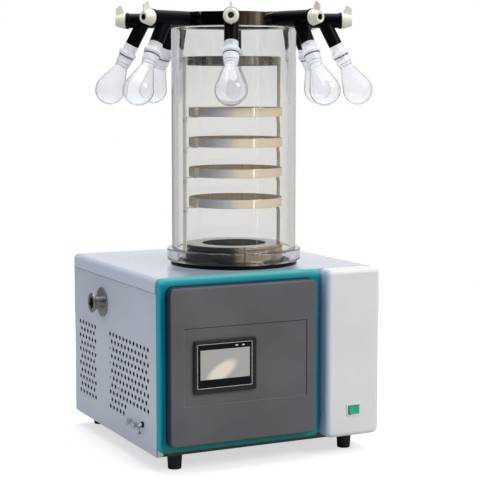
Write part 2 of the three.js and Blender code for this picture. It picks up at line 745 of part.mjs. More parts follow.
// The rocker's two faces meet in a shallow V over its pivot, so that one face lies level with
// the frame while the other stands out.
function switchRocker() {
  const half = SWITCH_WIDTH / 2 - SWITCH_RIM - RUN - 0.5;
  const height = SWITCH_HEIGHT / 2 - SWITCH_RIM - FIT;
  const rise = half * Math.tan(radians(ROCKER_TILT));
  const crown = -ROCKER_PIVOT_DEPTH;
  const outline = polygon([
    [-half, crown - rise / 2], [0, crown + rise / 2], [half, crown - rise / 2],
    [half, 0], [half * 0.6, ROCKER_PIVOT_DEPTH], [-half * 0.6, ROCKER_PIVOT_DEPTH], [-half, 0],
  ]);
  return slab(outline, 'z', -height, height);
}

place('front_bezel', toGeometry(frontBezel()), FINISH.teal());
place('front_panel', toGeometry(frontPanel()), FINISH.greyPlastic());
place('column_cover', toGeometry(columnCover()), FINISH.columnPaint());
place('touch_screen', toGeometry(touchScreen()), FINISH.blackPlastic());
place('switch_housing', toGeometry(switchHousing()), FINISH.lightPlastic());
const rocker = place('switch_rocker', toGeometry(switchRocker()), FINISH.greenPlastic());
rocker.position.set(SWITCH_X, SWITCH_FRONT + ROCKER_PIVOT_DEPTH, SWITCH_Z);
rocker.rotation.z = radians(ROCKER_TILT);

// ---------------------------------------------------------------- cold trap

const TRAP_AXIS = [CHAMBER_X, CHAMBER_Y, 0];
const TRAP_BOTTOM = CABINET_TOP - TRAP_DEPTH;
const TRAP_OUTSIDE = TRAP_RADIUS + TRAP_WALL;
const COIL_LOWEST = TRAP_BOTTOM + COIL_PITCH;
const COIL_REACH = TRAP_OUTSIDE + 2 * COIL_TUBE_RADIUS;
const FOAM_INSIDE = COIL_REACH + FIT;
const FOAM_OUTSIDE = FOAM_INSIDE + FOAM_WALL;

const PORT_TRAP_X = CHAMBER_X - PORT_TRAP_ASIDE;

const PIPE_INNER_END = CHAMBER_Y + TRAP_RADIUS / 2;

// The vacuum pipe's course: straight in from the port, then square round to the trap.
function vacuumCourse(radius, from) {
  return join(
    rod(radius, from, PORT_TRAP_X + radius, PORT_SIDES, 'x', [0, PORT_Y, PORT_Z]),
    rod(radius, PIPE_INNER_END, PORT_Y + radius, PORT_SIDES, 'y', [PORT_TRAP_X, 0, PORT_Z]),
  );
}

// The pot with its flange. The evaporator coil is brazed on, a half-round rib for each turn.
function coldTrap() {
  const flangeTop = CABINET_TOP + SHEET;
  const coil = Array.from({ length: COIL_TURNS }, (_, k) => {
    const z = COIL_LOWEST + k * COIL_PITCH;
    const flat = COIL_TUBE_RADIUS / 2;
    return [
      [TRAP_OUTSIDE, z - COIL_TUBE_RADIUS], [COIL_REACH, z - flat], [COIL_REACH, z + flat],
      [TRAP_OUTSIDE, z + COIL_TUBE_RADIUS],
    ];
  }).flat();
  const pot = turned([
    [0, TRAP_BOTTOM], [TRAP_OUTSIDE, TRAP_BOTTOM], ...coil, [TRAP_OUTSIDE, CABINET_TOP],
    [TRAP_FLANGE_RADIUS, CABINET_TOP], [TRAP_FLANGE_RADIUS, flangeTop],
    [TRAP_RADIUS, flangeTop], [TRAP_RADIUS, TRAP_BOTTOM + TRAP_WALL],
    [0, TRAP_BOTTOM + TRAP_WALL],
  ], TRAP_SIDES, 'z', TRAP_AXIS);
  const drainEnd = TRAP_BOTTOM - TRAP_DRAIN_LENGTH;
  const drain = rod(
    TRAP_DRAIN_RADIUS, drainEnd, TRAP_BOTTOM + TRAP_WALL / 2, SMALL_SIDES, 'z', TRAP_AXIS);
  const drainBore = rod(
    TRAP_DRAIN_RADIUS - TRAP_WALL, drainEnd - 1, TRAP_BOTTOM + TRAP_WALL + 1, SMALL_SIDES, 'z',
    TRAP_AXIS);
  const suction = rod(
    PORT_BORE_RADIUS, PIPE_INNER_END, PORT_Y, PORT_SIDES, 'y', [PORT_TRAP_X, 0, PORT_Z]);
  return cut(join(pot, drain), drainBore, suction);
}

function trapFoam() {
  const top = CABINET_TOP - SHEET - FIT;
  const floorTop = TRAP_BOTTOM - FIT;
  const bottom = floorTop - FOAM_FLOOR;
  const hole = TRAP_DRAIN_RADIUS + FIT;
  const jacket = turned([
    [hole, bottom], [FOAM_OUTSIDE, bottom], [FOAM_OUTSIDE, top],
    [FOAM_INSIDE, top], [FOAM_INSIDE, floorTop], [hole, floorTop], [hole, bottom],
  ], TRAP_SIDES, 'z', TRAP_AXIS);
  return cut(jacket, vacuumCourse(PORT_TUBE_RADIUS + FIT, 0));
}

place('cold_trap', toGeometry(coldTrap()), FINISH.stainless());
place('trap_foam', toGeometry(trapFoam()), FINISH.foam());

// ---------------------------------------------------------------- left side fittings

function vacuumPort() {
  const plateBack = -FIT;
  const plateFront = plateBack - PORT_PLATE;
  const face = -PORT_REACH;
  const lip = face + PORT_FLANGE_LIP;
  const outside = turned([
    [0, face], [PORT_FLANGE_RADIUS, face], [PORT_FLANGE_RADIUS, lip],
    [PORT_TUBE_RADIUS, lip + PORT_FLANGE_TAPER], [PORT_TUBE_RADIUS, plateFront],
    [PORT_PLATE_RADIUS, plateFront], [PORT_PLATE_RADIUS, plateBack], [0, plateBack],
  ], PORT_SIDES, 'x', [0, PORT_Y, PORT_Z]);
  const besideTrap = rod(TRAP_OUTSIDE + FIT, TRAP_BOTTOM, CABINET_TOP, TRAP_SIDES, 'z', TRAP_AXIS);
  const pipeOutside = cut(vacuumCourse(PORT_TUBE_RADIUS, plateBack - OVERLAP), besideTrap);
  return cut(join(outside, pipeOutside), vacuumCourse(PORT_BORE_RADIUS, face - 1));
}

// A small valve: nut against the panel, body through it, and a turned knob on its stem.
function fittingValveBody() {
  return join(
    rod(VALVE_NUT_RADIUS, -FIT - VALVE_NUT, -FIT, 6, 'x'),
    rod(VALVE_STEM_RADIUS + 1, -FIT - OVERLAP, VALVE_TAIL, SMALL_SIDES, 'x'),
    rod(VALVE_STEM_RADIUS, -FIT - VALVE_NUT - HAND_KNOB_LENGTH, -FIT - OVERLAP, SMALL_SIDES, 'x'),
  );
}

// The knob turns on the valve's stem, which ends inside it.
function fittingKnob() {
  const inner = -FIT - VALVE_NUT - FIT;
  const outer = inner - HAND_KNOB_LENGTH;
  const knob = turned([
    [0, outer], [HAND_KNOB_RADIUS - 1, outer], [HAND_KNOB_RADIUS, outer + 1],
    [HAND_KNOB_RADIUS, inner - 1], [HAND_KNOB_RADIUS - 1, inner], [0, inner],
  ], 12, 'x');
  const stemHole = rod(
    VALVE_STEM_RADIUS + RUN, -FIT - VALVE_NUT - HAND_KNOB_LENGTH - FIT, inner + 1, SMALL_SIDES, 'x');
  return cut(knob, stemHole);
}

// The spout comes out of its collar and turns down.
function drainSpout() {
  const collar = rod(SPOUT_COLLAR_RADIUS, -FIT - SPOUT_COLLAR, -FIT, 12, 'x');
  const through = rod(SPOUT_TUBE_RADIUS, -SPOUT_OUT, VALVE_TAIL, SMALL_SIDES, 'x');
  const drop = rod(
    SPOUT_TUBE_RADIUS, -SPOUT_DROP, SPOUT_TUBE_RADIUS, SMALL_SIDES, 'z', [-SPOUT_OUT, 0, 0]);
  const bore = join(
    rod(SPOUT_BORE_RADIUS, -SPOUT_DROP - 1, 0, SMALL_SIDES, 'z', [-SPOUT_OUT, 0, 0]),
    rod(SPOUT_BORE_RADIUS, -SPOUT_OUT, VALVE_TAIL + 1, SMALL_SIDES, 'x'),
  );
  return cut(join(collar, through, drop), bore);
}

place('vacuum_port', toGeometry(vacuumPort()), FINISH.stainless());
const fittingBodyGeometry = toGeometry(fittingValveBody());
const fittingKnobGeometry = toGeometry(fittingKnob());
for (const [name, y] of [['drain_valve', DRAIN_VALVE_Y], ['air_valve', AIR_VALVE_Y]]) {
  place(`${name}_body`, fittingBodyGeometry, FINISH.stainless()).position.set(0, y, FITTING_Z);
  place(`${name}_knob`, fittingKnobGeometry, FINISH.stainless()).position.set(0, y, FITTING_Z);
}
place('drain_spout', toGeometry(drainSpout()), FINISH.lightPlastic())
  .position.set(0, SPOUT_Y, SPOUT_Z);

// ---------------------------------------------------------------- chamber, rack and trays

const chamber = new THREE.Group();
chamber.position.set(CHAMBER_X, CHAMBER_Y, 0);
machine.add(chamber);

function seatGasket() {
  return pipe(GASKET_INNER_RADIUS, GASKET_RADIUS, CABINET_TOP + SHEET, GASKET_TOP, ROUND);
}

function chamberTube() {
  const inner = TUBE_RADIUS - TUBE_WALL;
  const flangeTop = GASKET_TOP + TUBE_FLANGE;
  return turned([
    [inner, GASKET_TOP], [TUBE_FLANGE_RADIUS - 2, GASKET_TOP], [TUBE_FLANGE_RADIUS, GASKET_TOP + 2],
    [TUBE_FLANGE_RADIUS, flangeTop - TUBE_FLANGE_ROUND],
    [TUBE_FLANGE_RADIUS - TUBE_FLANGE_ROUND, flangeTop],
    [TUBE_RADIUS, flangeTop], [TUBE_RADIUS, TUBE_TOP], [inner, TUBE_TOP], [inner, GASKET_TOP],
  ], ROUND);
}

const TRAY_BOTTOMS = Array.from({ length: TRAY_COUNT }, (_, k) => TRAY_LOWEST + k * TRAY_PITCH);

// One post with its foot on the base ring, a ledge under each tray and an arm to the top hoop.
// It is drawn on the right of the axis and turned for the left.
function rackPost() {
  const half = POST_WIDTH / 2;
  const inner = POST_RADIUS - POST_THICKNESS;
  const footTop = RACK_RING_TOP;
  const bar = block(inner, POST_RADIUS, -half, half, footTop - POST_FOOT, HOOP_TOP);
  const foot = block(
    RACK_RING_RADIUS - RACK_SHEET, POST_RADIUS - OVERLAP, -half / 2, half / 2,
    footTop - RACK_SHEET * 6, footTop - RACK_SHEET * 4);
  const arm = block(
    HOOP_RADIUS - HOOP_SHEET, POST_RADIUS - OVERLAP, -half / 2, half / 2,
    HOOP_TOP - RACK_SHEET * 4, HOOP_TOP - RACK_SHEET * 3);
  const ledges = TRAY_BOTTOMS.flatMap((bottom) => {
    const top = bottom - FIT;
    return [
      block(POST_RADIUS - LEDGE_REACH, inner + OVERLAP, -half, half, top - RACK_SHEET, top),
      block(inner - RACK_SHEET, inner + OVERLAP, -half, half, top - LEDGE_DROP, top),
    ];
  });
  return join(bar, foot, arm, ...ledges);
}

function trayRack() {
  const ringBottom = CABINET_TOP + SHEET;
  const inside = RACK_RING_RADIUS - RACK_SHEET;
  const ring = turned([
    [inside, ringBottom], [RACK_RING_RADIUS, ringBottom], [RACK_RING_RADIUS, RACK_RING_TOP],
    [RACK_RING_HOLE, RACK_RING_TOP], [RACK_RING_HOLE, RACK_RING_TOP - RACK_SHEET],
    [inside, RACK_RING_TOP - RACK_SHEET], [inside, ringBottom],
  ], TRAY_SIDES);
  const hoop = pipe(HOOP_RADIUS - HOOP_SHEET, HOOP_RADIUS, HOOP_BOTTOM, HOOP_TOP, TRAY_SIDES);
  const right = rackPost();
  const left = toSolid(toGeometry(right).rotateZ(Math.PI));
  return join(ring, hoop, right, left);
}

function tray() {
  const inner = TRAY_RADIUS - TRAY_SHEET;
  return turned([
    [0, 0], [TRAY_RADIUS, 0], [TRAY_RADIUS, TRAY_RIM], [inner, TRAY_RIM], [inner, TRAY_SHEET],
    [0, TRAY_SHEET],
  ], TRAY_SIDES);
}

place('seat_gasket', toGeometry(seatGasket()), FINISH.rubber(), chamber);
place('chamber_tube', toGeometry(chamberTube()), FINISH.acrylic(), chamber);
place('tray_rack', toGeometry(trayRack()), FINISH.stainless(), chamber);
const trayGeometry = toGeometry(tray());
TRAY_BOTTOMS.forEach((bottom, k) => {
  place(`tray_${k + 1}`, trayGeometry, FINISH.stainless(), chamber).position.set(TRAY_ASIDE, 0, bottom);
});

// ---------------------------------------------------------------- manifold

// Each station's group points its own X outwards along the valve's axis.
const stationTurns = Array.from({ length: STATION_COUNT }, (_, k) =>
  radians(STATION_FIRST + (k * 360) / STATION_COUNT - 90));

function manifoldDrum() {
  const inside = DRUM_RADIUS - DRUM_WALL;
  const drum = turned([
    [0, DRUM_TOP - DRUM_WALL], [inside, DRUM_TOP - DRUM_WALL], [inside, TUBE_TOP + DRUM_WALL],
    [DRUM_MOUTH_RADIUS, TUBE_TOP + DRUM_WALL], [DRUM_MOUTH_RADIUS, TUBE_TOP],
    [DRUM_RADIUS, TUBE_TOP], [DRUM_RADIUS, DRUM_TOP - DRUM_ROUND],
    [DRUM_RADIUS - DRUM_ROUND, DRUM_TOP], [0, DRUM_TOP],
  ], ROUND);
  const nippleStart = inside + OVERLAP;
  const atStation = (solid, turn) => toSolid(toGeometry(solid).rotateZ(turn));
  const nipple = rod(NIPPLE_RADIUS, nippleStart, NIPPLE_END, BORE_SIDES, 'x', [0, 0, VALVE_Z]);
  const bore = rod(NIPPLE_BORE_RADIUS, inside - 6, NIPPLE_END + 1, BORE_SIDES, 'x', [0, 0, VALVE_Z]);
  const nipples = stationTurns.map((turn) => atStation(nipple, turn));
  const bores = stationTurns.map((turn) => atStation(bore, turn));
  return cut(join(drum, ...nipples), ...bores);
}

// The rubber valve: a barrel pushed over the nipple, with a branch that leans out and down.
function valveBody() {
  const start = DRUM_RADIUS + FIT;
  const barrel = turned([
    [0, start], [BARREL_RADIUS, start], [BARREL_RADIUS, BARREL_END - BEAD_LENGTH],
    [BEAD_RADIUS, BARREL_END - BEAD_LENGTH], [BEAD_RADIUS, BARREL_END], [0, BARREL_END],
  ], VALVE_SIDES, 'x');
  const leaning = (radius, length, sides) => {
    const geometry = new THREE.CylinderGeometry(radius, radius, length, sides);
    geometry.rotateY(Math.PI / sides);
    geometry.translate(0, -length / 2, 0);
    geometry.rotateX(Math.PI / 2);
    geometry.rotateY(radians(-BRANCH_TILT));
    geometry.translate(BRANCH_FROM, 0, 0);
    return toSolid(geometry);
  };
  const branch = leaning(BRANCH_RADIUS, BRANCH_LENGTH, VALVE_SIDES);
  const nippleSeat = rod(NIPPLE_RADIUS + FIT, start - 1, NIPPLE_END + FIT, BORE_SIDES, 'x');
  const plugBore = rod(PLUG_BORE_RADIUS, NIPPLE_END, BARREL_END + 1, BORE_SIDES, 'x');
  const branchBore = leaning(SPIGOT_RADIUS + FIT, BRANCH_LENGTH + 1, FLASK_SIDES);
  return cut(join(barrel, branch), nippleSeat, plugBore, branchBore);
}

// The plug turns in the barrel. Its hollow stem opens inwards and has one port towards the branch.
// The knob has an air hole in its outer face and a flat fin to turn it by.
function valvePlug() {
  const knobStart = BARREL_END + FIT;
  const knobEnd = knobStart + KNOB_LENGTH;
  const stemStart = BARREL_END - PLUG_LENGTH;
  const turnedBody = turned([
    [0, stemStart], [PLUG_RADIUS, stemStart], [PLUG_RADIUS, knobStart],
    [KNOB_INNER_RADIUS, knobStart], [KNOB_OUTER_RADIUS, knobEnd], [0, knobEnd],
  ], PLUG_SIDES, 'x');
  const fin = slab(polygon([
    [knobStart + 0.6, -KNOB_INNER_RADIUS - 1.5], [knobEnd - 0.4, -KNOB_OUTER_RADIUS],
    [knobEnd - 0.4, FIN_HEIGHT * 0.8], [knobStart + 10, FIN_HEIGHT],
    [knobStart + 1.5, KNOB_INNER_RADIUS - 0.4],
  ]), 'y', -FIN_THICKNESS / 2, FIN_THICKNESS / 2);
  const airHole = rod(KNOB_BORE_RADIUS, knobEnd - KNOB_BORE_DEPTH, knobEnd + 1, BORE_SIDES, 'x');
  const stemEnd = BRANCH_FROM + PLUG_RADIUS + PLUG_PORT_RADIUS;
  const stemBore = rod(PLUG_RADIUS - PLUG_WALL, stemStart - 1, stemEnd, 6, 'x');
  const port = rod(PLUG_PORT_RADIUS, -PLUG_RADIUS - 1, 0, 6, 'z', [BRANCH_FROM + PLUG_PORT_RADIUS, 0, 0]);
  return cut(join(turnedBody, fin), airHole, stemBore, port);
}

// Distances down the flask's own axis from the end of the branch. The shoulder is the straight
// line from the neck that just touches the round bulb.
function flask() {
  function bulbArc(neckRadius, neckEnd, centre, radius, steps) {
    const reach = Math.hypot(neckRadius, centre - neckEnd);
    const lean = Math.asin(radius / reach) - Math.atan2(neckRadius, centre - neckEnd);
    const arc = [];
    for (let k = 0; k <= steps; k += 1) {
      const angle = lean + (k / steps) * (-Math.PI / 2 - lean);
      arc.push([radius * Math.cos(angle), -centre + radius * Math.sin(angle)]);
    }
    arc[steps][0] = 0;
    return arc;
  }
  // the corners of the faceted bulb stand as far outside the round one as its flats lie inside
  const corners = BULB_RADIUS * (1 + 1 / Math.cos(Math.PI / FLASK_SIDES)) / 2;
  const outer = bulbArc(JOINT_END_RADIUS, JOINT_END, BULB_AT, corners, 4);
  const inner = bulbArc(JOINT_END_RADIUS - GLASS, JOINT_END, BULB_AT, corners - GLASS, 3);
  return turned([
    ...inner.reverse(), [JOINT_END_RADIUS - GLASS, -JOINT_END],
    [SPIGOT_BORE_RADIUS, -JOINT_FROM], [SPIGOT_BORE_RADIUS, SPIGOT_LENGTH],
    [SPIGOT_RADIUS, SPIGOT_LENGTH], [SPIGOT_RADIUS, -FIT],
    [NECK_RADIUS, -FIT], [NECK_RADIUS, -COLLAR_AT + 6.5],
    [COLLAR_RADIUS, -COLLAR_AT + 2], [COLLAR_RADIUS, -COLLAR_AT - 2],
    [JOINT_RADIUS, -JOINT_FROM], [JOINT_END_RADIUS, -JOINT_END],
    ...outer,
  ], FLASK_SIDES);
}

place('manifold_drum', toGeometry(manifoldDrum()), FINISH.stainless(), chamber);
const valveBodyGeometry = toGeometry(valveBody());
const valvePlugGeometry = toGeometry(valvePlug());
const flaskGeometry = toGeometry(flask()).rotateZ(Math.PI / FLASK_SIDES);
const branchReach = BRANCH_LENGTH * Math.sin(radians(BRANCH_TILT));
const branchDrop = BRANCH_LENGTH * Math.cos(radians(BRANCH_TILT));
stationTurns.forEach((turn, k) => {
  const station = new THREE.Group();
  station.position.z = VALVE_Z;
  station.rotation.z = turn;
  chamber.add(station);
  place(`valve_body_${k + 1}`, valveBodyGeometry, FINISH.rubber(), station);
  place(`valve_plug_${k + 1}`, valvePlugGeometry, FINISH.ivoryPlastic(), station);
  const bottle = place(`flask_${k + 1}`, flaskGeometry, FINISH.glass(), station);
  bottle.position.set(BRANCH_FROM + branchReach, 0, -branchDrop);
  bottle.rotation.y = radians(-BRANCH_TILT);
});

// ---------------------------------------------------------------- refrigeration and electrics

const FLOOR = CABINET_BOTTOM + PAN_FLOOR;

function compressor() {
  const plateBottom = FLOOR + COMPRESSOR_FOOT;
  const bodyBottom = plateBottom + COMPRESSOR_PLATE;
  const dome = COMPRESSOR_RADIUS * 0.45;
  const top = bodyBottom + COMPRESSOR_HEIGHT;
  const seam = (bodyBottom + top) / 2;
  const half = COMPRESSOR_RADIUS * 0.92;
  const can = turned([
    [0, bodyBottom - OVERLAP], [COMPRESSOR_RADIUS - COMPRESSOR_BEND, bodyBottom - OVERLAP],
    [COMPRESSOR_RADIUS, bodyBottom + COMPRESSOR_BEND], [COMPRESSOR_RADIUS, seam - COMPRESSOR_SEAM],
    [COMPRESSOR_RADIUS + COMPRESSOR_SEAM, seam - COMPRESSOR_SEAM],
    [COMPRESSOR_RADIUS + COMPRESSOR_SEAM, seam + COMPRESSOR_SEAM],
    [COMPRESSOR_RADIUS, seam + COMPRESSOR_SEAM], [COMPRESSOR_RADIUS, top - dome],
    [COMPRESSOR_RADIUS * 0.78, top - dome * 0.35], [COMPRESSOR_RADIUS * 0.4, top],
    [0, top],
  ], HIDDEN_SIDES);
  const plate = slab(
    rectangle(-half, -half, half, half, COMPRESSOR_PLATE_CORNER), 'z', plateBottom, bodyBottom);
  const inset = half - COMPRESSOR_FOOT_INSET;
  const pads = [[1, 1], [1, -1], [-1, 1], [-1, -1]].map(([sx, sy]) =>
    rod(
      COMPRESSOR_FOOT_RADIUS, FLOOR, plateBottom + OVERLAP, SMALL_SIDES, 'z',
      [sx * inset, sy * inset, 0]));
  return join(can, plate, ...pads);
}

const CONDENSER_RIGHT = CONDENSER_LEFT + CONDENSER_THICKNESS;
const CONDENSER_BACK = CABINET_DEPTH - CONDENSER_FROM_BACK;
const CONDENSER_FRONT = CONDENSER_BACK - CONDENSER_LENGTH;
const FAN_Y = (CONDENSER_FRONT + CONDENSER_BACK) / 2;
const FAN_Z = FLOOR + FAN_RADIUS + 14;
const COWL_RIGHT = CONDENSER_RIGHT + COWL_DEPTH;

// Upright fins on a common spine, with the cowl behind them and the fan motor on three arms.
function condenser() {
  const pitch = (CONDENSER_LENGTH - CONDENSER_FIN) / (CONDENSER_FINS - 1);
  const spineLeft = CONDENSER_RIGHT - CONDENSER_SPINE;
  const comb = [[CONDENSER_RIGHT, CONDENSER_FRONT], [CONDENSER_RIGHT, CONDENSER_BACK]];
  for (let k = CONDENSER_FINS - 1; k >= 0; k -= 1) {
    const y = CONDENSER_FRONT + k * pitch;
    comb.push([CONDENSER_LEFT, y + CONDENSER_FIN], [CONDENSER_LEFT, y]);
    if (k > 0) comb.push([spineLeft, y], [spineLeft, y - pitch + CONDENSER_FIN]);
  }
  const fins = slab(polygon(comb), 'z', FLOOR, FLOOR + CONDENSER_HEIGHT);
  const airway = rod(
    FAN_RADIUS + RUN * 4, spineLeft - 1, COWL_RIGHT + 1, HIDDEN_SIDES, 'x', [0, FAN_Y, FAN_Z]);
  const cowl = block(
    CONDENSER_RIGHT - OVERLAP, COWL_RIGHT, CONDENSER_FRONT, CONDENSER_BACK, FLOOR,
    FAN_Z + FAN_RADIUS + 10);
  const motor = rod(
    MOTOR_RADIUS, COWL_RIGHT + FIT, COWL_RIGHT + MOTOR_LENGTH, 12, 'x', [0, FAN_Y, FAN_Z]);
  const shaftHole = rod(
    SHAFT_RADIUS + RUN, COWL_RIGHT - 1, COWL_RIGHT + SHAFT_LENGTH + 1, SMALL_SIDES, 'x', [0, FAN_Y, FAN_Z]);
  const reach = FAN_RADIUS + 8;
  const arm = block(COWL_RIGHT - OVERLAP, COWL_RIGHT + 6, -4, 4, 0, reach);
  const arms = [0, 120, 240].map((degrees) => {
    const turnedArm = toGeometry(arm).rotateX(radians(degrees));
    return toSolid(turnedArm.translate(0, FAN_Y, FAN_Z));
  });
  return cut(join(cut(join(fins, cowl), airway), motor, ...arms), shaftHole);
}

// The blades are flat plates set at a pitch on the hub. The shaft runs into the motor.
function fanRotor() {
  const hubEnd = COWL_RIGHT - COWL_SHEET;
  const hubStart = hubEnd - FAN_HUB_LENGTH;
  const hub = rod(FAN_HUB_RADIUS, hubStart, hubEnd, 10, 'x');
  const shaft = rod(SHAFT_RADIUS, hubEnd - OVERLAP, COWL_RIGHT + SHAFT_LENGTH, 8, 'x');
  const outline = polygon([
    [-12, FAN_HUB_RADIUS - 4], [12, FAN_HUB_RADIUS - 4], [24, FAN_RADIUS * 0.9],
    [10, FAN_RADIUS * 0.98], [-18, FAN_RADIUS * 0.9],
  ]);
  const middle = (hubStart + hubEnd) / 2;
  const blades = Array.from({ length: FAN_BLADES }, (_, k) => {
    const blade = toGeometry(slab(outline, 'x', -FAN_BLADE_SHEET / 2, FAN_BLADE_SHEET / 2));
    blade.rotateZ(radians(FAN_BLADE_PITCH));
    blade.rotateX((Math.PI * 2 * k) / FAN_BLADES);
    return toSolid(blade.translate(middle, 0, 0));
  });
  return join(hub, shaft, ...blades);
}

// An open-sided steel box whose rim stands against the right side panel.
function electricalBox() {
  const right = CABINET_WIDTH - INSIDE;
  const back = BOX_FRONT + BOX_LENGTH;
  const left = CHAMBER_X + FOAM_OUTSIDE + BOX_CLEAR;
  const top = BOX_BOTTOM + BOX_HEIGHT;
  const outside = block(left, right, BOX_FRONT, back, BOX_BOTTOM, top);
  const inside = block(
    left + BOX_SHEET, right + 1, BOX_FRONT + BOX_SHEET, back - BOX_SHEET,
    BOX_BOTTOM + BOX_SHEET, top - BOX_SHEET);
  return cut(outside, inside);
}

function powerInlet() {
  const halfWidth = INLET_WIDTH / 2;
  const halfHeight = INLET_HEIGHT / 2;
  const face = REAR_FACE + FIT + INLET_LIP_DEPTH;
  const lip = block(
    INLET_X - halfWidth - INLET_LIP, INLET_X + halfWidth + INLET_LIP, REAR_FACE + FIT, face,
    INLET_Z - halfHeight - INLET_LIP, INLET_Z + halfHeight + INLET_LIP);
  const body = block(
    INLET_X - halfWidth, INLET_X + halfWidth, face - INLET_BODY_DEPTH, REAR_FACE + FIT + OVERLAP,
    INLET_Z - halfHeight, INLET_Z + halfHeight);
  const socket = block(
    INLET_X - halfWidth + INLET_WALL, INLET_X + halfWidth - INLET_WALL,
    face - INLET_SOCKET_DEPTH, face + 1,
    INLET_Z - halfHeight + INLET_WALL, INLET_Z + halfHeight - INLET_WALL);
  const pins = [-7, 0, 7].map((across, k) => {
    const x = INLET_X + across;
    const z = INLET_Z + (k === 1 ? 2.5 : -2.5);
    return block(
      x - 1, x + 1, face - INLET_SOCKET_DEPTH - OVERLAP, face - INLET_PIN, z - 2, z + 2);
  });
  return join(cut(join(lip, body), socket), ...pins);
}

place('compressor', toGeometry(compressor()), FINISH.enamel())
  .position.set(CABINET_WIDTH - COMPRESSOR_FROM_RIGHT, CABINET_DEPTH - COMPRESSOR_FROM_BACK, 0);
place('condenser', toGeometry(condenser()), FINISH.aluminium());
place('fan_rotor', toGeometry(fanRotor()), FINISH.blackPlastic()).position.set(0, FAN_Y, FAN_Z);
place('electrical_box', toGeometry(electricalBox()), FINISH.panelPaint());
place('power_inlet', toGeometry(powerInlet()), FINISH.blackPlastic());

// ---------------------------------------------------------------- origin under the middle

machine.updateMatrixWorld(true);
const outline = new THREE.Box3().setFromObject(machine, true);
const middle = outline.getCenter(new THREE.Vector3());
machine.position.set(-middle.x, -middle.y, -outline.min.z);

export default machine;
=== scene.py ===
# %% [markdown]
# # A benchtop freeze dryer
# A freeze dryer takes the water out of frozen samples under vacuum. This one is a steel cabinet with
# a moulded front. A clear drying chamber with four trays stands on it, and a steel drum on top of
# the chamber carries eight rubber valves, each with a glass flask. The solids come from the frame,
# and this lesson dresses them: it rebuilds each visible form with smooth curves and rounded edges
# in its solid's own place, and gives everything a procedural finish.

# %% Load the frame
import json
import math

import bmesh
import bpy
from mathutils import Matrix, Vector

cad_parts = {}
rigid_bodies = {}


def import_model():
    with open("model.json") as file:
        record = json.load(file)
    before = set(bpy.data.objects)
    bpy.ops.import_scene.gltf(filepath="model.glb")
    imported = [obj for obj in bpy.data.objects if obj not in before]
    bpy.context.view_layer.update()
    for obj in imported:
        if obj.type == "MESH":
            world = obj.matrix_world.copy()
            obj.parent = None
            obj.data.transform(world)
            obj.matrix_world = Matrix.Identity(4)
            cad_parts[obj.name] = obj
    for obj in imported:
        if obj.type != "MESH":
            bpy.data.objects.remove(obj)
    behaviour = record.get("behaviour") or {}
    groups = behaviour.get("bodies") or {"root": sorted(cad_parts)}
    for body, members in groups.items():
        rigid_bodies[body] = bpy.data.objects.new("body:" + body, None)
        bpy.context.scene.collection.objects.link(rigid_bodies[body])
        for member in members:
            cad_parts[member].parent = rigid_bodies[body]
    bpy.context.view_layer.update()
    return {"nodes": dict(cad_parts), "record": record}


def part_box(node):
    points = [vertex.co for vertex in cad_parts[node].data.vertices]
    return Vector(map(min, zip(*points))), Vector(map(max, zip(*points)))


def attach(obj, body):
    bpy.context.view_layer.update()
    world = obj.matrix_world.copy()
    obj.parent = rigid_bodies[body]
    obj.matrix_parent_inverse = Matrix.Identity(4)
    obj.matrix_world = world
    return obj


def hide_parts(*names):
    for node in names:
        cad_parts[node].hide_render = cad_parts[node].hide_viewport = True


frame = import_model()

# %% [markdown]
# ## Where things are
# Sizes in this lesson are millimetres, because that is how a cabinet maker thinks of them. Lengths
# run right from the left side panel (x), back from the front edge of the side panels (y) and up from
# the table (z). One helper turns such a point into the frame's metres. It reads the corner of the
# left side panel from the frame, so nothing has to be fitted by eye.

# %% From millimetres on the cabinet to the frame
MM = 0.001
CABINET_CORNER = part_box("left_side_panel")[0]


def spot(x, y, z):
    return Vector((CABINET_CORNER.x + x * MM, CABINET_CORNER.y + y * MM, z * MM))


def placed(x=0, y=0, z=0):
    return Matrix.Translation(spot(x, y, z))


def place_along(point, direction):
    """A placement whose own z axis points along direction."""
    return Matrix.Translation(point) @ Vector(direction).to_track_quat("Z", "Y").to_matrix().to_4x4()


def span(node):
    """The lowest and the highest corner of a solid, in millimetres on the cabinet."""
    return [
        Vector(((corner.x - CABINET_CORNER.x) / MM, (corner.y - CABINET_CORNER.y) / MM, corner.z / MM))
        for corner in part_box(node)
    ]


def middle(node):
    """The middle of a solid in plan."""
    low, high = span(node)
    return (low.x + high.x) / 2, (low.y + high.y) / 2


AXIS_X, AXIS_Y = middle("chamber_tube")


def on_axis(height=0.0):
    return placed(AXIS_X, AXIS_Y, height)


print("chamber axis:", round(AXIS_X, 1), round(AXIS_Y, 1))

# %% [markdown]
# ## The camera
# The machine is seen from its front left, a little above its middle, through a long lens. A long
# lens keeps the upright edges nearly parallel. The camera looks level apart from a slight tilt down.

# %% The camera
CAMERA_LENS = 105.92
CAMERA_PLACE = (-1007.6, -2427.2, 732.5)
CAMERA_TURN = 26.0  # degrees from straight ahead, towards the right
CAMERA_TILT = 6.2  # degrees down


def added(name, data, place=None):
    """An object in the scene."""
    thing = bpy.data.objects.new(name, data)
    if place is not None:
        thing.matrix_world = place
    bpy.context.scene.collection.objects.link(thing)
    return thing


lens = bpy.data.cameras.new("camera")
lens.lens = CAMERA_LENS
lens.sensor_width = 36
lens.clip_end = 50
camera = added("camera", lens)
camera.location = spot(*CAMERA_PLACE)
camera.rotation_euler = (math.radians(90 - CAMERA_TILT), 0, math.radians(-CAMERA_TURN))
bpy.context.scene.camera = camera
print("camera at", [round(value, 3) for value in camera.location])

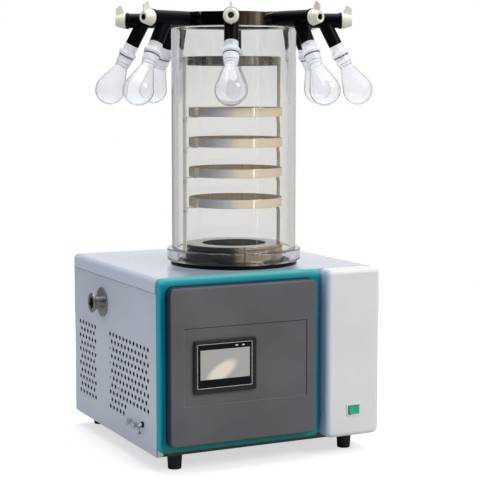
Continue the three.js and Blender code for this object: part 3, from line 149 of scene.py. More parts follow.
# %% [markdown]
# ## Riding and replacing
# Each new piece stands for one solid. It rides on that solid's body, so it moves when the joint
# moves. A detail such as a screw rides in the same way, but hides nothing. Where a flat wall ends
# in a small round, the normals at the corner follow the larger face, so that the wall still reflects
# as a flat one.

# %% Helpers that tie a piece to its solid
BODY_OF = {
    node: body
    for body, nodes in frame["record"]["behaviour"]["bodies"].items()
    for node in nodes
}


def detail(piece, node):
    even = piece.modifiers.new("even_normals", "WEIGHTED_NORMAL")
    even.keep_sharp = True
    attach(piece, BODY_OF[node])
    return piece


def stand_for(piece, node):
    detail(piece, node)
    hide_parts(node)
    return piece


def dress(node, finish):
    """Gives a solid that is shown as it is its finish."""
    materials = frame["nodes"][node].data.materials
    materials.clear()
    materials.append(finish)


# %% [markdown]
# ## Making meshes
# Most parts of the machine are turned, folded from sheet or moulded. A few helpers cover them all:
# a section turned about an axis, a stack of loops joined by faces, a flat sheet with holes, and a
# bar with softened edges. Real edges are never quite sharp, and a small round catches the light, so
# every helper rounds its edges. Faces shade smooth unless they meet at more than 35 degrees.

# %% A mesh object from points and faces
SHARP = math.radians(35)


def finish_mesh(mesh):
    for polygon in mesh.polygons:
        polygon.use_smooth = True
    mesh.set_sharp_from_angle(angle=SHARP)


def made_of(name, work, materials, place=None, outward=True):
    """Ends the work on a bmesh, and makes an object of it."""
    if outward:
        bmesh.ops.recalc_face_normals(work, faces=work.faces)
    mesh = bpy.data.meshes.new(name)
    work.to_mesh(mesh)
    work.free()
    for material in [materials] if isinstance(materials, bpy.types.Material) else materials:
        mesh.materials.append(material)
    finish_mesh(mesh)
    return added(name, mesh, place)


def lofted(name, loops, materials, place=None, closed=False, capped=True, index_of=None):
    """Joins loops of equal length in their order. Unless closed on itself, the form can be capped.
    index_of gives the material of each row of faces."""
    work = bmesh.new()
    rows = []
    for loop in loops:
        own = {point: work.verts.new(point) for point in dict.fromkeys(map(tuple, loop))}
        rows.append([own[tuple(point)] for point in loop])
    pairs = [*zip(rows, rows[1:]), *([(rows[-1], rows[0])] if closed else [])]
    for row, (lower, upper) in enumerate(pairs):
        for k in range(len(lower)):
            after = (k + 1) % len(lower)
            corners = list(dict.fromkeys((lower[k], lower[after], upper[after], upper[k])))
            if len(corners) > 2:
                work.faces.new(corners).material_index = index_of(row) if index_of else 0
    if capped and not closed:
        work.faces.new(rows[0])
        work.faces.new(rows[-1])
    return made_of(name, work, materials, place)


# %% Outlines
def arc(u, v, radius, first=0, sweep=90, steps=6):
    """Points along part of a circle. first and sweep are in degrees."""
    angles = [math.radians(first + sweep * step / steps) for step in range(steps + 1)]
    return [(u + radius * math.cos(angle), v + radius * math.sin(angle)) for angle in angles]


def circle(u, v, radius, sides=24):
    return arc(u, v, radius, 0, 360, sides)[:-1]


def long_hole(u, low, high, width):
    """An upright slot with round ends."""
    radius = width / 2
    return arc(u, high - radius, radius, 0, 180, 8) + arc(u, low + radius, radius, 180, 180, 8)


def eased(points, radius, closed=True, steps=3):
    """The same outline with each corner rounded. The ends of an open one stay."""
    count = len(points)
    result = []
    for index, point in enumerate(points):
        here = Vector(point)
        at_end = not closed and index in (0, count - 1)
        before = Vector(points[index - 1]) - here
        after = Vector(points[(index + 1) % count]) - here
        if at_end or min(before.length, after.length) < 1e-6:
            result.append(tuple(here))
            continue
        turn = math.pi - before.angle(after)
        if turn < math.radians(12):
            result.append(tuple(here))
            continue
        cut = min(radius * math.tan(turn / 2), 0.45 * before.length, 0.45 * after.length)
        start = here + before.normalized() * cut
        end = here + after.normalized() * cut
        for step in range(steps + 1):
            share = step / steps
            result.append(tuple(start.lerp(here, share).lerp(here.lerp(end, share), share)))
    return result


print("a square with rounded corners has", len(eased([(0, 0), (4, 0), (4, 4), (0, 4)], 1)), "points")


# %% A turned section, a swept pipe and bars
def turned(name, section, materials, place=None, sides=96, edge=0.6, closed=False, steps=3, index_of=None):
    """section is a list of (radius, height) pairs."""
    points = eased(section, edge, closed, steps) if edge else section
    loops = [
        [(u * MM, v * MM, height * MM) for u, v in circle(0, 0, radius if radius > 1e-6 else 0, sides)]
        for radius, height in points
    ]
    return lofted(name, loops, materials, place, closed, False, index_of)


def elbow(start, corner, end, radius, steps=10):
    """A path of two straight runs and a round bend between them."""
    into = (corner - start).normalized()
    out = (end - corner).normalized()
    centre = corner + (out - into) * radius * MM
    bend = [centre + (into * v - out * u) * MM for u, v in arc(0, 0, radius, 0, 90, steps)]
    return [start, *bend, end]


def swept(name, path, outer, inner, material, sides=40):
    """An open pipe. path lies in one plane, and its points are in the frame's metres."""
    walls = {outer: [], inner: []}
    for index, point in enumerate(path):
        ahead = path[min(index + 1, len(path) - 1)] - path[max(index - 1, 0)]
        turn = ahead.to_track_quat("Z", "Y").to_matrix()
        for radius, loops in walls.items():
            loops.append([point + turn @ Vector((u * MM, v * MM, 0)) for u, v in circle(0, 0, radius, sides)])
    return lofted(name, walls[outer] + walls[inner][::-1], material, closed=True)


def bars(name, boxes, edge, materials, place=None):
    """Softened bars. boxes holds (low, high) corners in millimetres in the piece's own directions."""
    work = bmesh.new()
    for low, high in boxes:
        size = [b - a for a, b in zip(low, high)]
        corners = bmesh.ops.create_cube(work, size=1)["verts"]
        bmesh.ops.scale(work, vec=[length * MM for length in size], verts=corners)
        bmesh.ops.translate(work, vec=[(a + b) / 2 * MM for a, b in zip(low, high)], verts=corners)
        bmesh.ops.bevel(
            work, geom=list(dict.fromkeys(rim for corner in corners for rim in corner.link_edges)),
            offset=min(edge, 0.45 * min(size)) * MM, segments=2, profile=0.5, affect="EDGES",
            clamp_overlap=True)
    return made_of(name, work, materials, place)


# %% Cutting, merging and copying
def discard(piece):
    bpy.data.objects.remove(piece)


def evaluated_mesh(piece):
    bpy.context.view_layer.update()
    graph = bpy.context.evaluated_depsgraph_get()
    return bpy.data.meshes.new_from_object(piece.evaluated_get(graph), depsgraph=graph)


def carved(piece, tool, operation="DIFFERENCE"):
    """Cuts tool out of piece, or joins it on, and removes the tool."""
    change = piece.modifiers.new("carve", "BOOLEAN")
    change.operation = operation
    change.object = tool
    change.solver = "EXACT"
    mesh = evaluated_mesh(piece)
    piece.modifiers.clear()
    piece.data = mesh
    finish_mesh(mesh)
    discard(tool)
    return piece


def drilled(piece, radius, low, high, place, sides=40):
    """Cuts a round hole. The tool has the piece's own finish, so that it brings in no other."""
    section = [(0, low), (radius, low), (radius, high), (0, high)]
    return carved(piece, turned("drill", section, piece.data.materials[0], place, sides, 0))


def merged(name, pieces, materials=None):
    """One object made of several, each with its own edges."""
    work = bmesh.new()
    for piece in pieces:
        own = piece.data.copy()
        own.transform(piece.matrix_world)
        work.from_mesh(own)
    whole = made_of(name, work, materials or list(pieces[0].data.materials), outward=False)
    for piece in pieces:
        discard(piece)
    return whole


def form_of(piece):
    """Keeps only a piece's mesh, with its place in it, for copies of it."""
    mesh = piece.data
    mesh.transform(piece.matrix_world)
    discard(piece)
    return mesh


def copy_of(name, mesh, place):
    """Another piece of the same form. Its place goes into its mesh, as it does in the solids."""
    own = mesh.copy()
    own.transform(place)
    return added(name, own)


def coloured(piece, index_of):
    """Gives each face of a piece the material that index_of names."""
    for face in piece.data.polygons:
        face.material_index = int(index_of(face))
    return piece


# %% A flat sheet with holes
FACING_X = Matrix(((0, 0, 1, 0), (1, 0, 0, 0), (0, 1, 0, 0), (0, 0, 0, 1)))  # outline in y and z
FACING_Y = Matrix(((1, 0, 0, 0), (0, 0, 1, 0), (0, 1, 0, 0), (0, 0, 0, 1)))  # outline in x and z


def pierced_sheet(name, outline, holes, facing, at, thickness, material):
    """A filled flat curve given thickness. at is where the sheet's first face lies."""
    curve = bpy.data.curves.new(name + "_outline", "CURVE")
    curve.dimensions = "2D"
    curve.fill_mode = "BOTH"
    curve.extrude = thickness / 2 * MM
    for loop in [outline, *holes]:
        spline = curve.splines.new("POLY")
        spline.points.add(len(loop) - 1)
        for point, (u, v) in zip(spline.points, loop):
            point.co = (u * MM, v * MM, 0, 1)
        spline.use_cyclic_u = True
    flat = added(name + "_outline", curve)
    work = bmesh.new()
    work.from_mesh(evaluated_mesh(flat))
    discard(flat)
    bmesh.ops.remove_doubles(work, verts=work.verts, dist=1e-6)
    bmesh.ops.transform(work, matrix=facing, verts=work.verts)
    shift = facing @ Vector((0, 0, (at + thickness / 2) * MM))
    bmesh.ops.translate(work, vec=spot(0, 0, 0) + shift, verts=work.verts)
    return made_of(name, work, material)


# %% [markdown]
# ## Finishes
# Each finish is one Principled shader. Colour, roughness and bump come from noise that lies in the
# piece's own directions, so that it moves with the piece. The noise is always faint: powder coat
# has a fine orange peel, rubber has a soft bloom, and polished steel has streaks left by rolling.

# %% Shader nodes
def paint(code):
    """A colour as written on a paint card, such as #C8CDD6, turned into linear light."""
    parts = [int(code[start:start + 2], 16) / 255 for start in (1, 3, 5)]
    linear = [part / 12.92 if part <= 0.04045 else ((part + 0.055) / 1.055) ** 2.4 for part in parts]
    return (*linear, 1)


def feed(tree, socket, value):
    """Sets a socket, or links it where the value is itself a socket."""
    if isinstance(value, bpy.types.NodeSocket):
        tree.links.new(value, socket)
    else:
        socket.default_value = value


def wired(tree, kind, inputs, output=0, **settings):
    """Adds a node, feeds its inputs and gives one of its outputs."""
    node = tree.nodes.new("ShaderNode" + kind)
    for name, setting in settings.items():
        setattr(node, name, setting)
    for name, value in inputs.items():
        feed(tree, node.inputs[name], value)
    return node.outputs[output]


def coordinates(tree, kind="Object"):
    return wired(tree, "TexCoord", {}, kind)


def combined(tree, operation, *values):
    return wired(tree, "Math", dict(enumerate(values)), operation=operation)


def vectors(tree, operation, *values, output=0):
    return wired(tree, "VectorMath", dict(enumerate(values)), output, operation=operation)


def along(tree, direction, axis):
    return vectors(tree, "DOT_PRODUCT", direction, axis, output="Value")


def mapped(tree, value, low, high, to_low=0.0, to_high=1.0, interpolation="SMOOTHSTEP"):
    """A soft step: to_low where value is under low, to_high where it is over high."""
    return wired(tree, "MapRange", {
        "Value": value, "From Min": low, "From Max": high, "To Min": to_low, "To Max": to_high,
    }, "Result", interpolation_type=interpolation)


def blended(tree, share, first, second):
    """A mix of two colours. Each may be a socket or a plain colour."""
    return wired(tree, "Mix", {"Factor": share, "A": first, "B": second}, "Result", data_type="RGBA")


def ramp(tree, source, stops):
    """Colour by a value from 0 to 1. A stop is a place and a paint."""
    node = tree.nodes.new("ShaderNodeValToRGB")
    marks = node.color_ramp.elements
    for mark, (place, code) in zip(marks, (stops[0], stops[-1])):
        mark.position = place
        mark.color = paint(code)
    for place, code in stops[1:-1]:
        marks.new(place).color = paint(code)
    tree.links.new(source, node.inputs["Fac"])
    return node.outputs["Color"]


# %% Building blocks of a finish
GRAIN_LOW, GRAIN_HIGH = 0.3, 0.7  # most of the noise lies between these


def adjust(material, **sockets):
    """Feeds the shader of a material. Socket names are written with underscores."""
    for name, value in sockets.items():
        shader = material.node_tree.nodes["Principled BSDF"]
        feed(material.node_tree, shader.inputs[name.replace("_", " ")], value)


def new_finish(name, colour, roughness, metallic=0.0, **sockets):
    material = bpy.data.materials.new(name)
    material.use_nodes = True
    adjust(material, Base_Color=paint(colour), Roughness=roughness, Metallic=metallic, **sockets)
    return material


def grain(material, scale, octaves=3.0, stretch=(1, 1, 1), around=False):
    """Noise in the piece's own directions, from 0 to 1. around keeps only the bearing about its z axis."""
    tree = material.node_tree
    place = coordinates(tree)
    if around:
        place = vectors(tree, "NORMALIZE", vectors(tree, "MULTIPLY", place, (1, 1, 0)))
    place = wired(tree, "Mapping", {"Scale": stretch, "Vector": place})
    return wired(tree, "TexNoise", {"Scale": scale, "Detail": octaves, "Vector": place}, "Fac")


def tinted(material, source, dark, light):
    """Base colour that wanders between two paints."""
    adjust(material, Base_Color=ramp(material.node_tree, source, [(GRAIN_LOW, dark), (GRAIN_HIGH, light)]))


def worn(material, source, low, high, height):
    """Roughness from low to high, and a relief whose height is in millimetres."""
    tree = material.node_tree
    adjust(
        material,
        Roughness=mapped(tree, source, GRAIN_LOW, GRAIN_HIGH, low, high, "LINEAR"),
        Normal=relief(tree, source, height))


def relief(tree, source, height):
    return wired(tree, "Bump", {"Distance": height * MM, "Strength": 1.0, "Height": source}, "Normal")


def painted_by_facing(material, colour, axis, low, high, kind="Normal"):
    """Paints light or shade in: blends in another colour where the surface faces along axis, as on a rounded
    edge.
    """
    tree = material.node_tree
    share = mapped(tree, along(tree, coordinates(tree, kind), axis), low, high)
    base = tree.nodes["Principled BSDF"].inputs["Base Color"].links[0].from_socket
    adjust(material, Base_Color=blended(tree, share, base, paint(colour)))


def painted_by_place(material, colour, axis, start, end):
    """Paints light or shade in: blends in another colour along axis, between two places in the piece's own
    directions.
    """
    painted_by_facing(material, colour, axis, start, end, "Object")


def textured(name, dark, light, roughness, tint, fine, spread, height, **sockets):
    """Colour that wanders with one grain, and gloss and relief that follow a finer one."""
    material = new_finish(name, light, roughness, **sockets)
    tinted(material, grain(material, *tint), dark, light)
    worn(material, grain(material, *fine), roughness + spread[0], roughness + spread[1], height)
    return material


# %% [markdown]
# ### Painted sheet and plastics
# The cabinet is powder coated in a cool light grey, and its column is a neutral off-white. Powder
# coat flows into a fine orange peel before it sets, which breaks up its gloss. The moulded front
# has a finely textured grey panel in a smooth teal bezel.

# %% Painted sheet and plastics
def powder_coat(name, dark, light, roughness):
    return textured(name, dark, light, roughness, (7, 2), (900, 2), (-0.05, 0.05), 0.03)


def moulded_plastic(name, dark, light, roughness, height=0.02, scale=1600, **sockets):
    return textured(name, dark, light, roughness, (9, 3), (scale, 2), (-0.06, 0.06), height, **sockets)


CABINET_GREY = powder_coat("cabinet_grey_coat", "#C3C9D3", "#CBD0DA", 0.36)
LID_GREY = powder_coat("lid_grey_coat", "#A6AEBC", "#AEB5C3", 0.16)
# Painted highlight: where the lid turns to the left, as on its rolled edge, it is painted lighter.
painted_by_facing(LID_GREY, "#D3DAE8", (-1, 0, 0), 0.3, 0.9)
COLUMN_WHITE = powder_coat("column_white_coat", "#DCDCDC", "#E3E3E2", 0.40)
# Painted shade: where the column turns to the left, its wall is painted a bluish grey.
painted_by_facing(COLUMN_WHITE, "#BFD0E8", (-1, 0, 0), 0.1, 0.8)
PAN_GREY = powder_coat("pan_dark_coat", "#37393B", "#414345", 0.55)
TEAL = moulded_plastic("teal_plastic", "#008395", "#008DA0", 0.32, 0.008, Specular_IOR_Level=0.04)
# Painted light on the bezel: a lighter top strip and lighter left and upper rounds are painted highlights,
# and a darker bottom strip is painted shade.
painted_by_place(TEAL, "#45A8B0", (0, 0, 1), 0.3595, 0.368)
painted_by_place(TEAL, "#2C8A84", (0, 0, 1), 0.062, 0.048)
painted_by_facing(TEAL, "#3AA3B0", (-1, 0, 0), 0.25, 0.85)
painted_by_facing(TEAL, "#57B3B3", (0, 0, 1), 0.15, 0.7)
PANEL_GREY = moulded_plastic("grey_panel_plastic", "#555557", "#5F5F61", 0.55, 0.05, 1100)
FIELD_SHADE = new_finish("field_shade", "#24262B", 0.6)
FIELD_GLINT = new_finish("field_glint", "#83868C", 0.5)
# Painted shade: the grey panel's side walls, which turn away from the front, are painted a dark navy.
painted_by_facing(PANEL_GREY, "#1B2338", (0, -1, 0), 0.92, 0.5)
FRAME_BLACK = moulded_plastic("screen_frame_plastic", "#1C1917", "#26211E", 0.45, Specular_IOR_Level=0.3)
GLOSS_BLACK = new_finish("screen_glass", "#08080A", 0.06, Specular_IOR_Level=0.12)
INLET_BLACK = moulded_plastic("inlet_plastic", "#141416", "#1C1C1E", 0.45)
LIGHT_PLASTIC = moulded_plastic("light_plastic", "#D5D9D6", "#DFE2DF", 0.35, 0.01)
ROCKER_GREEN = moulded_plastic("green_plastic", "#0CA079", "#12B088", 0.22, 0.004)
IVORY = moulded_plastic("ivory_plastic", "#E6E0D0", "#EFEADC", 0.38, 0.01)
print("plastics and paints:", len(bpy.data.materials))

# %% [markdown]
# ### Rubber, steel and glass
# Polished sheet steel is never optically flat. Rolling leaves streaks, which a bright surface shows
# as upright bands when the sheet is bent round. The streaks depend only on the bearing about the
# piece's own axis. Clear parts are true glass with both surfaces modelled, so their edges darken by
# refraction, and a painted shade darkens them further where they are seen edge-on.

# %% Rubber, steel and glass
def rubber(name, dark, light, roughness, **sockets):
    return textured(name, dark, light, roughness, (30, 4), (260, 4), (-0.08, 0.12), 0.05, **sockets)


def rolled_steel(name, light, roughness, streak, around=True, mottled=None):
    steel = new_finish(name, light, roughness, 1.0)
    lines = grain(steel, 26, 5, around=True) if around else grain(steel, 500, 5, (1, 1, 0.04))
    tinted(steel, lines, mottled or light, light)
    worn(steel, lines, 0.7 * roughness, 1.5 * roughness, streak)
    return steel


def flat_steel(name, light, roughness):
    steel = new_finish(name, light, roughness, 1.0)
    worn(steel, grain(steel, 60, 4, (1, 1, 12)), roughness - 0.04, roughness + 0.04, 0.01)
    return steel


def clear_finish(name, face, rim, clear_to, ior, **sockets):
    """Clear glass or plastic. Seen edge-on it is painted darker: partly for the longer way through the
    material, and partly as painted shade for the dark edges of glass.
    """
    clear = new_finish(name, face, 0.0, **{"Transmission_Weight": 1.0, "IOR": ior, **sockets})
    tree = clear.node_tree
    edge_on = wired(tree, "LayerWeight", {"Blend": 0.5}, "Facing")
    adjust(clear, Base_Color=ramp(tree, edge_on, [(clear_to, face), (0.92, rim)]))
    return clear


BLACK_RUBBER = rubber("black_rubber", "#010206", "#03040A", 0.34, Specular_IOR_Level=0.09)
GASKET_RUBBER = rubber("gasket_rubber", "#020607", "#04090B", 0.42, Specular_IOR_Level=0.1)
FOOT_RUBBER = rubber("foot_rubber", "#0E0F10", "#17181A", 0.6)
RING_RUBBER = new_finish("seal_ring_rubber", "#2C3850", 0.35)
DRUM_STEEL = rolled_steel("drum_steel", "#ACA69C", 0.045, 0.3, mottled="#78726A")
TRAY_STEEL = rolled_steel("tray_steel", "#F0EDE8", 0.07, 0.10)
# Painted reflection: the trays' inner faces are the same steel, given a warm beige and made less metallic.
TRAY_INSIDE = rolled_steel("tray_inside", "#E2D3B8", 0.35, 0.05, mottled="#B8AA92")
adjust(TRAY_INSIDE, Metallic=0.3)
HOOP_STEEL = rolled_steel("hoop_steel", "#A9A7A2", 0.14, 0.10)
POST_STEEL = rolled_steel("post_steel", "#FFF7EA", 0.3, 0.05, around=False)
adjust(POST_STEEL, Metallic=0.0)
BASE_STEEL = rolled_steel("base_steel", "#D8D0C4", 0.05, 0.3, mottled="#8C8478")
# Painted shade: the base ring's faces that turn to the left are painted a dark navy.
painted_by_facing(BASE_STEEL, "#14161D", (-0.9, 0.44, 0), -0.14, 0.08)
DRUM_TOP = flat_steel("drum_top_steel", "#8F8D89", 0.42)
FITTING_STEEL = flat_steel("fitting_steel", "#A3A2A0", 0.3)
KNOB_CHROME = new_finish("knob_chrome", "#D9D9D8", 0.14, 1.0)
HOLE_SHADE = new_finish("air_hole_shade", "#3C2F27", 0.6)
VENT_PAINTED_SHADE = new_finish("vent_painted_shade", "#23262C", 0.7)
SEAM_SHADE = new_finish("seam_shade", "#3A404C", 0.7)
SCREW_STEEL = new_finish("screw_steel", "#B9B9B7", 0.28, 1.0)
SILVER_TRIM = new_finish("silver_trim", "#D8DADA", 0.22, 0.85)
ACRYLIC = clear_finish("clear_acrylic", "#EFEFEE", "#BFC1C4", 0.66, 1.49)
CLEAR_GLASS = clear_finish("clear_glass", "#F8F9FB", "#7E8288", 0.6, 1.33, Transmission_Weight=0.9)
# Painted light: the frosted glass glows faintly, for the room's light that the frosting scatters.
FROSTED_GLASS = clear_finish(
    "frosted_glass", "#FDFEFF", "#CDD6E2", 0.45, 1.4, Transmission_Weight=0.5, Emission_Strength=0.05)
adjust(
    FROSTED_GLASS, Roughness=0.35, Emission_Color=paint("#DDEBF5"),
    Normal=relief(FROSTED_GLASS.node_tree, grain(FROSTED_GLASS, 900), 0.04))
FROST_LINE = new_finish("frost_line", "#A3AEC0", 0.4, Transmission_Weight=0.3, IOR=1.4)
print("finishes so far:", len(bpy.data.materials))

# %% [markdown]
# ## The cabinet
# The cabinet is folded from sheet steel. Its left side is perforated with staggered rows of round
# holes, which let warm air out. A flat curve with the holes as inner loops fills itself, and then
# only needs a thickness, which is easier than cutting the holes one at a time.

# %% Left side panel with its perforation
SHEET = 1.5
CABINET_BOTTOM = span("left_side_panel")[0].z
CABINET_DEPTH = span("left_side_panel")[1].y
SIDE_TOP = span("left_side_panel")[1].z
CABINET_WIDTH = span("right_side_panel")[1].x
LID_LOW, LID_HIGH = span("top_cover")
LID_LINE = LID_LOW.z - 0.8
FLANGE = 14
FOOT_CORNER = 1.5
VENT_RADIUS = 4.6
VENT_PITCH = 18.4
VENT_ROW_PITCH = 15
VENT_TOP = 232
VENT_ROWS = 11
PORT_Y, PORT_Z = 284, 291.5
FITTING_Z = 75
DRAIN_Y, AIR_Y = 128, 95
SPOUT_Y, SPOUT_Z = 68, 81


def vent_rows(first, columns, short_rows=()):
    """Centres of the holes, row by row, with each second row shifted by half a pitch."""
    for row in range(VENT_ROWS):
        odd = row % 2
        count = 5 if row in short_rows else columns - odd
        for column in range(count):
            yield row, column, first - (column + odd / 2) * VENT_PITCH, VENT_TOP - row * VENT_ROW_PITCH


SCREWS_AMONG_VENTS = {(2, 0), (4, 0), (6, 0), (7, 2)}
vents = [(y, z) for row, column, y, z in vent_rows(422, 6)]
panel_screws = []
for row, column, y, z in vent_rows(243, 12, short_rows=(9, 10)):
    (panel_screws if (row, column) in SCREWS_AMONG_VENTS else vents).append((y, z))

side_outline = [
    (FOOT_CORNER, CABINET_BOTTOM),
    *eased([
        (0, CABINET_BOTTOM), (CABINET_DEPTH, CABINET_BOTTOM), (CABINET_DEPTH, SIDE_TOP),
        (1.8, SIDE_TOP), (1.8, LID_LINE), (0, LID_LINE),
    ], 0.3)[4:],
    *arc(FOOT_CORNER, CABINET_BOTTOM + FOOT_CORNER, FOOT_CORNER, 180, 90, 5)[:-1],
]
fitting_holes = [
    circle(PORT_Y, PORT_Z, 14.3, 32), circle(DRAIN_Y, FITTING_Z, 3.3), circle(AIR_Y, FITTING_Z, 3.3),
    circle(SPOUT_Y, SPOUT_Z, 3.5),
]
left_sheet = pierced_sheet(
    "left_panel_sheet", side_outline, [circle(y, z, VENT_RADIUS) for y, z in vents] + fitting_holes,
    FACING_X, 0, SHEET, CABINET_GREY)


def panel_flanges(name, x0, x1):
    low, high = CABINET_BOTTOM + FOOT_CORNER, LID_LINE
    return bars(name, [
        ((x0, 0, low), (x1, SHEET, high)),
        ((x0, CABINET_DEPTH - SHEET, low), (x1, CABINET_DEPTH, high)),
    ], 0.2, CABINET_GREY, placed())


HOLE_WALL = 4e-6  # a face of a hole's wall is smaller than this, in square metres
# The walls of the vent holes are painted in shade, so that each hole reads dark right through.
coloured(left_sheet, lambda face: abs(face.normal.x) < 0.5 and face.area < HOLE_WALL)
# Painted highlight: the left flanges take the column's off-white, for grey sheet that catches the light.
left_flanges = coloured(panel_flanges("left_flanges", 0.02, FLANGE), lambda face: 2)
stand_for(
    merged("left_panel", [left_sheet, left_flanges], [CABINET_GREY, VENT_PAINTED_SHADE, COLUMN_WHITE]),
    "left_side_panel")
# A thin dark strip on the side panel under the lid's edge is the lid's painted shadow.
lid_shadow_strip = bars(
    "lid_seam_painted_shadow", [((-0.05, 2, LID_LINE - 0.6), (0.3, CABINET_DEPTH - 2, LID_LINE + 0.7))], 0.02,
    SEAM_SHADE, placed())
detail(lid_shadow_strip, "left_side_panel")
print("holes in the left side panel:", len(vents))

# %% Right side panel and rear panel
INLET_X, INLET_Z = 400, 70
INLET_HALF_WIDTH, INLET_HALF_HEIGHT = 14.3, 10.8


def slots(first):
    return [long_hole(first + 16 * k, 120, 190, 5) for k in range(6)]


def rectangle(u0, v0, u1, v1):
    return [(u0, v0), (u1, v0), (u1, v1), (u0, v1)]


right_sheet = pierced_sheet(
    "right_panel_sheet", side_outline, slots(320), FACING_X, CABINET_WIDTH - SHEET, SHEET, CABINET_GREY)
right_flanges = panel_flanges("right_flanges", CABINET_WIDTH - FLANGE, CABINET_WIDTH - 0.02)
stand_for(merged("right_panel", [right_sheet, right_flanges]), "right_side_panel")

REAR_LOW, REAR_HIGH = span("rear_panel")
inlet_hole = rectangle(
    INLET_X - INLET_HALF_WIDTH, INLET_Z - INLET_HALF_HEIGHT,
    INLET_X + INLET_HALF_WIDTH, INLET_Z + INLET_HALF_HEIGHT)
rear_panel = pierced_sheet(
    "rear_sheet", eased(rectangle(REAR_LOW.x, REAR_LOW.z, REAR_HIGH.x, REAR_HIGH.z), 1),
    [inlet_hole, *slots(290)], FACING_Y, REAR_LOW.y, SHEET, CABINET_GREY)
stand_for(rear_panel, "rear_panel")
print("rear panel:", len(rear_panel.data.polygons), "faces")

# %% [markdown]
# ## The lid
# The lid is drawn from one sheet. Its sides and its back roll over in a bend, and its front is cut
# flat where the moulded front stands against it. The section is a stack of plan loops, first down
# the inside and then up the outside. The mouth for the cold trap is cut last.

# %% The lid
LID_BEND = 10
LID_CORNER = 8
FRONT_CORNER = 0.3


def plan_loop(inset, front, z, corner):
    """A loop in plan. Its two rear corners are round and its front ones nearly sharp."""
    x0, x1, y1 = LID_LOW.x + inset, LID_HIGH.x - inset, LID_HIGH.y - inset
    corners = [
        (x0 + FRONT_CORNER, front + FRONT_CORNER, FRONT_CORNER, 180),
        (x1 - FRONT_CORNER, front + FRONT_CORNER, FRONT_CORNER, 270),
        (x1 - corner, y1 - corner, corner, 0), (x0 + corner, y1 - corner, corner, 90),
    ]
    return [spot(x, y, z) for u, v, radius, first in corners for x, y in arc(u, v, radius, first, 90, 5)]


def lid_skin(inset, front, top, bend, corner):
    """Loops from the skirt's lower edge up to the edge of the flat top."""
    return [plan_loop(inset, front, LID_LOW.z, corner)] + [
        plan_loop(inset + reach, front, z, max(corner - reach, FRONT_CORNER))
        for reach, z in arc(bend, top - bend, bend, 180, -90, 8)
    ]


outer_skin = lid_skin(0, LID_LOW.y, LID_HIGH.z, LID_BEND, LID_CORNER)
inner_skin = lid_skin(SHEET, LID_LOW.y + SHEET, LID_HIGH.z - SHEET, LID_BEND - SHEET, LID_CORNER - SHEET)
lid = lofted("lid", inner_skin[::-1] + outer_skin, LID_GREY)
drilled(lid, 96.8, 340, 380, on_axis(), 96)
stand_for(lid, "top_cover")
print("lid:", len(lid.data.polygons), "faces")

# %% Feet and floor pan
for corner in ("front_left", "front_right", "rear_left", "rear_right"):
    top = span("foot_" + corner)[1].z
    foot = turned("rubber_foot_" + corner, [
        (0, 8), (6, 8), (6, 0), (13, 0), (15, top), (0, top),
    ], FOOT_RUBBER, placed(*middle("foot_" + corner)), 48, 1.2)
    stand_for(foot, "foot_" + corner)
dress("base_pan", PAN_GREY)
print("feet and floor pan done")

# %% [markdown]
# ## Small screws
# Countersunk screws hold the panels and fittings. One screw is a shallow dome with a cross recess,
# made once and shared by every place that needs it.

# %% A screw head
SCREW_RADIUS = 2.4


def screw_mesh(radius):
    head = turned("screw_head", [
        (0, 0), (radius, 0), (radius, radius * 0.25), (radius * 0.6, radius * 0.55), (0, radius * 0.62),
    ], SCREW_STEEL, None, 20, 0.15)
    long, short = radius * 0.55, radius * 0.12
    for x, y in ((long, short), (short, long)):
        carved(head, bars("screw_blade", [((-x, -y, radius * 0.3), (x, y, radius))], 0.05, SCREW_STEEL))
    return form_of(head)


SCREW = screw_mesh(SCREW_RADIUS)


def screw(name, point, direction, node):
    return detail(added(name, SCREW, place_along(point, direction)), node)


for index, (y, z) in enumerate(panel_screws):
    screw(f"side_screw_{index + 1}", spot(0, y, z), (-1, 0, 0), "left_side_panel")
for index, x in enumerate((20, 160, 310, 450)):
    for row, z in enumerate((60, 335)):
        screw(f"rear_screw_{index + 1}_{row + 1}", spot(x, REAR_HIGH.y, z), (0, 1, 0), "rear_panel")
print("screws:", len(panel_screws) + 8, "of", len(SCREW.polygons), "faces")

# %% [markdown]
# ## The moulded front
# Three mouldings make the front: a teal bezel, a grey panel that stands out of it, and a white
# column with the mains switch. Each is a skin of even wall, so each is a stack of rounded
# rectangles: round the outside edge, over the face, through the opening and back along the inside.

# %% Stacks of rounded rectangles
WALL = 3
BACK = -0.3


def rounded_loop(x0, x1, z0, z1, corner, y):
    """A rounded rectangle in an upright plane, as points on the cabinet."""
    corner = max(corner, 0.2)
    centres = [
        (x1 - corner, z0 + corner, -90), (x1 - corner, z1 - corner, 0),
        (x0 + corner, z1 - corner, 90), (x0 + corner, z0 + corner, 180),
    ]
    return [spot(x, y, z) for u, v, first in centres for x, z in arc(u, v, corner, first)]


def grown(size, by):
    """The same rounded rectangle, larger all round by by."""
    x0, x1, z0, z1, corner = size
    return (x0 - by, x1 + by, z0 - by, z1 + by, corner + by)


def around(x, z, half_width, half_height, corner):
    return (x - half_width, x + half_width, z - half_height, z + half_height, corner)


def layers(*levels):
    """Each level is a rounded rectangle and how far back it lies."""
    return [rounded_loop(*size, y) for size, y in levels]


def edge_loops(size, front, edge):
    """Rolls from the side of a moulding over onto its face, which lies at front."""
    return layers(*[(grown(size, -inset), y) for inset, y in arc(edge, front + edge, edge, 180)])


def moulding(name, node, size, front, edge, opening, finish):
    """opening holds the levels from the face through the opening to the inside."""
    inner = grown(size, -WALL)
    skin = lofted(name, [
        *layers((size, BACK)), *edge_loops(size, front, edge),
        *layers(*opening, (inner, front + WALL), (inner, BACK)),
    ], finish, closed=True)
    print(name + ":", len(skin.data.polygons), "faces")
    stand_for(skin, node)


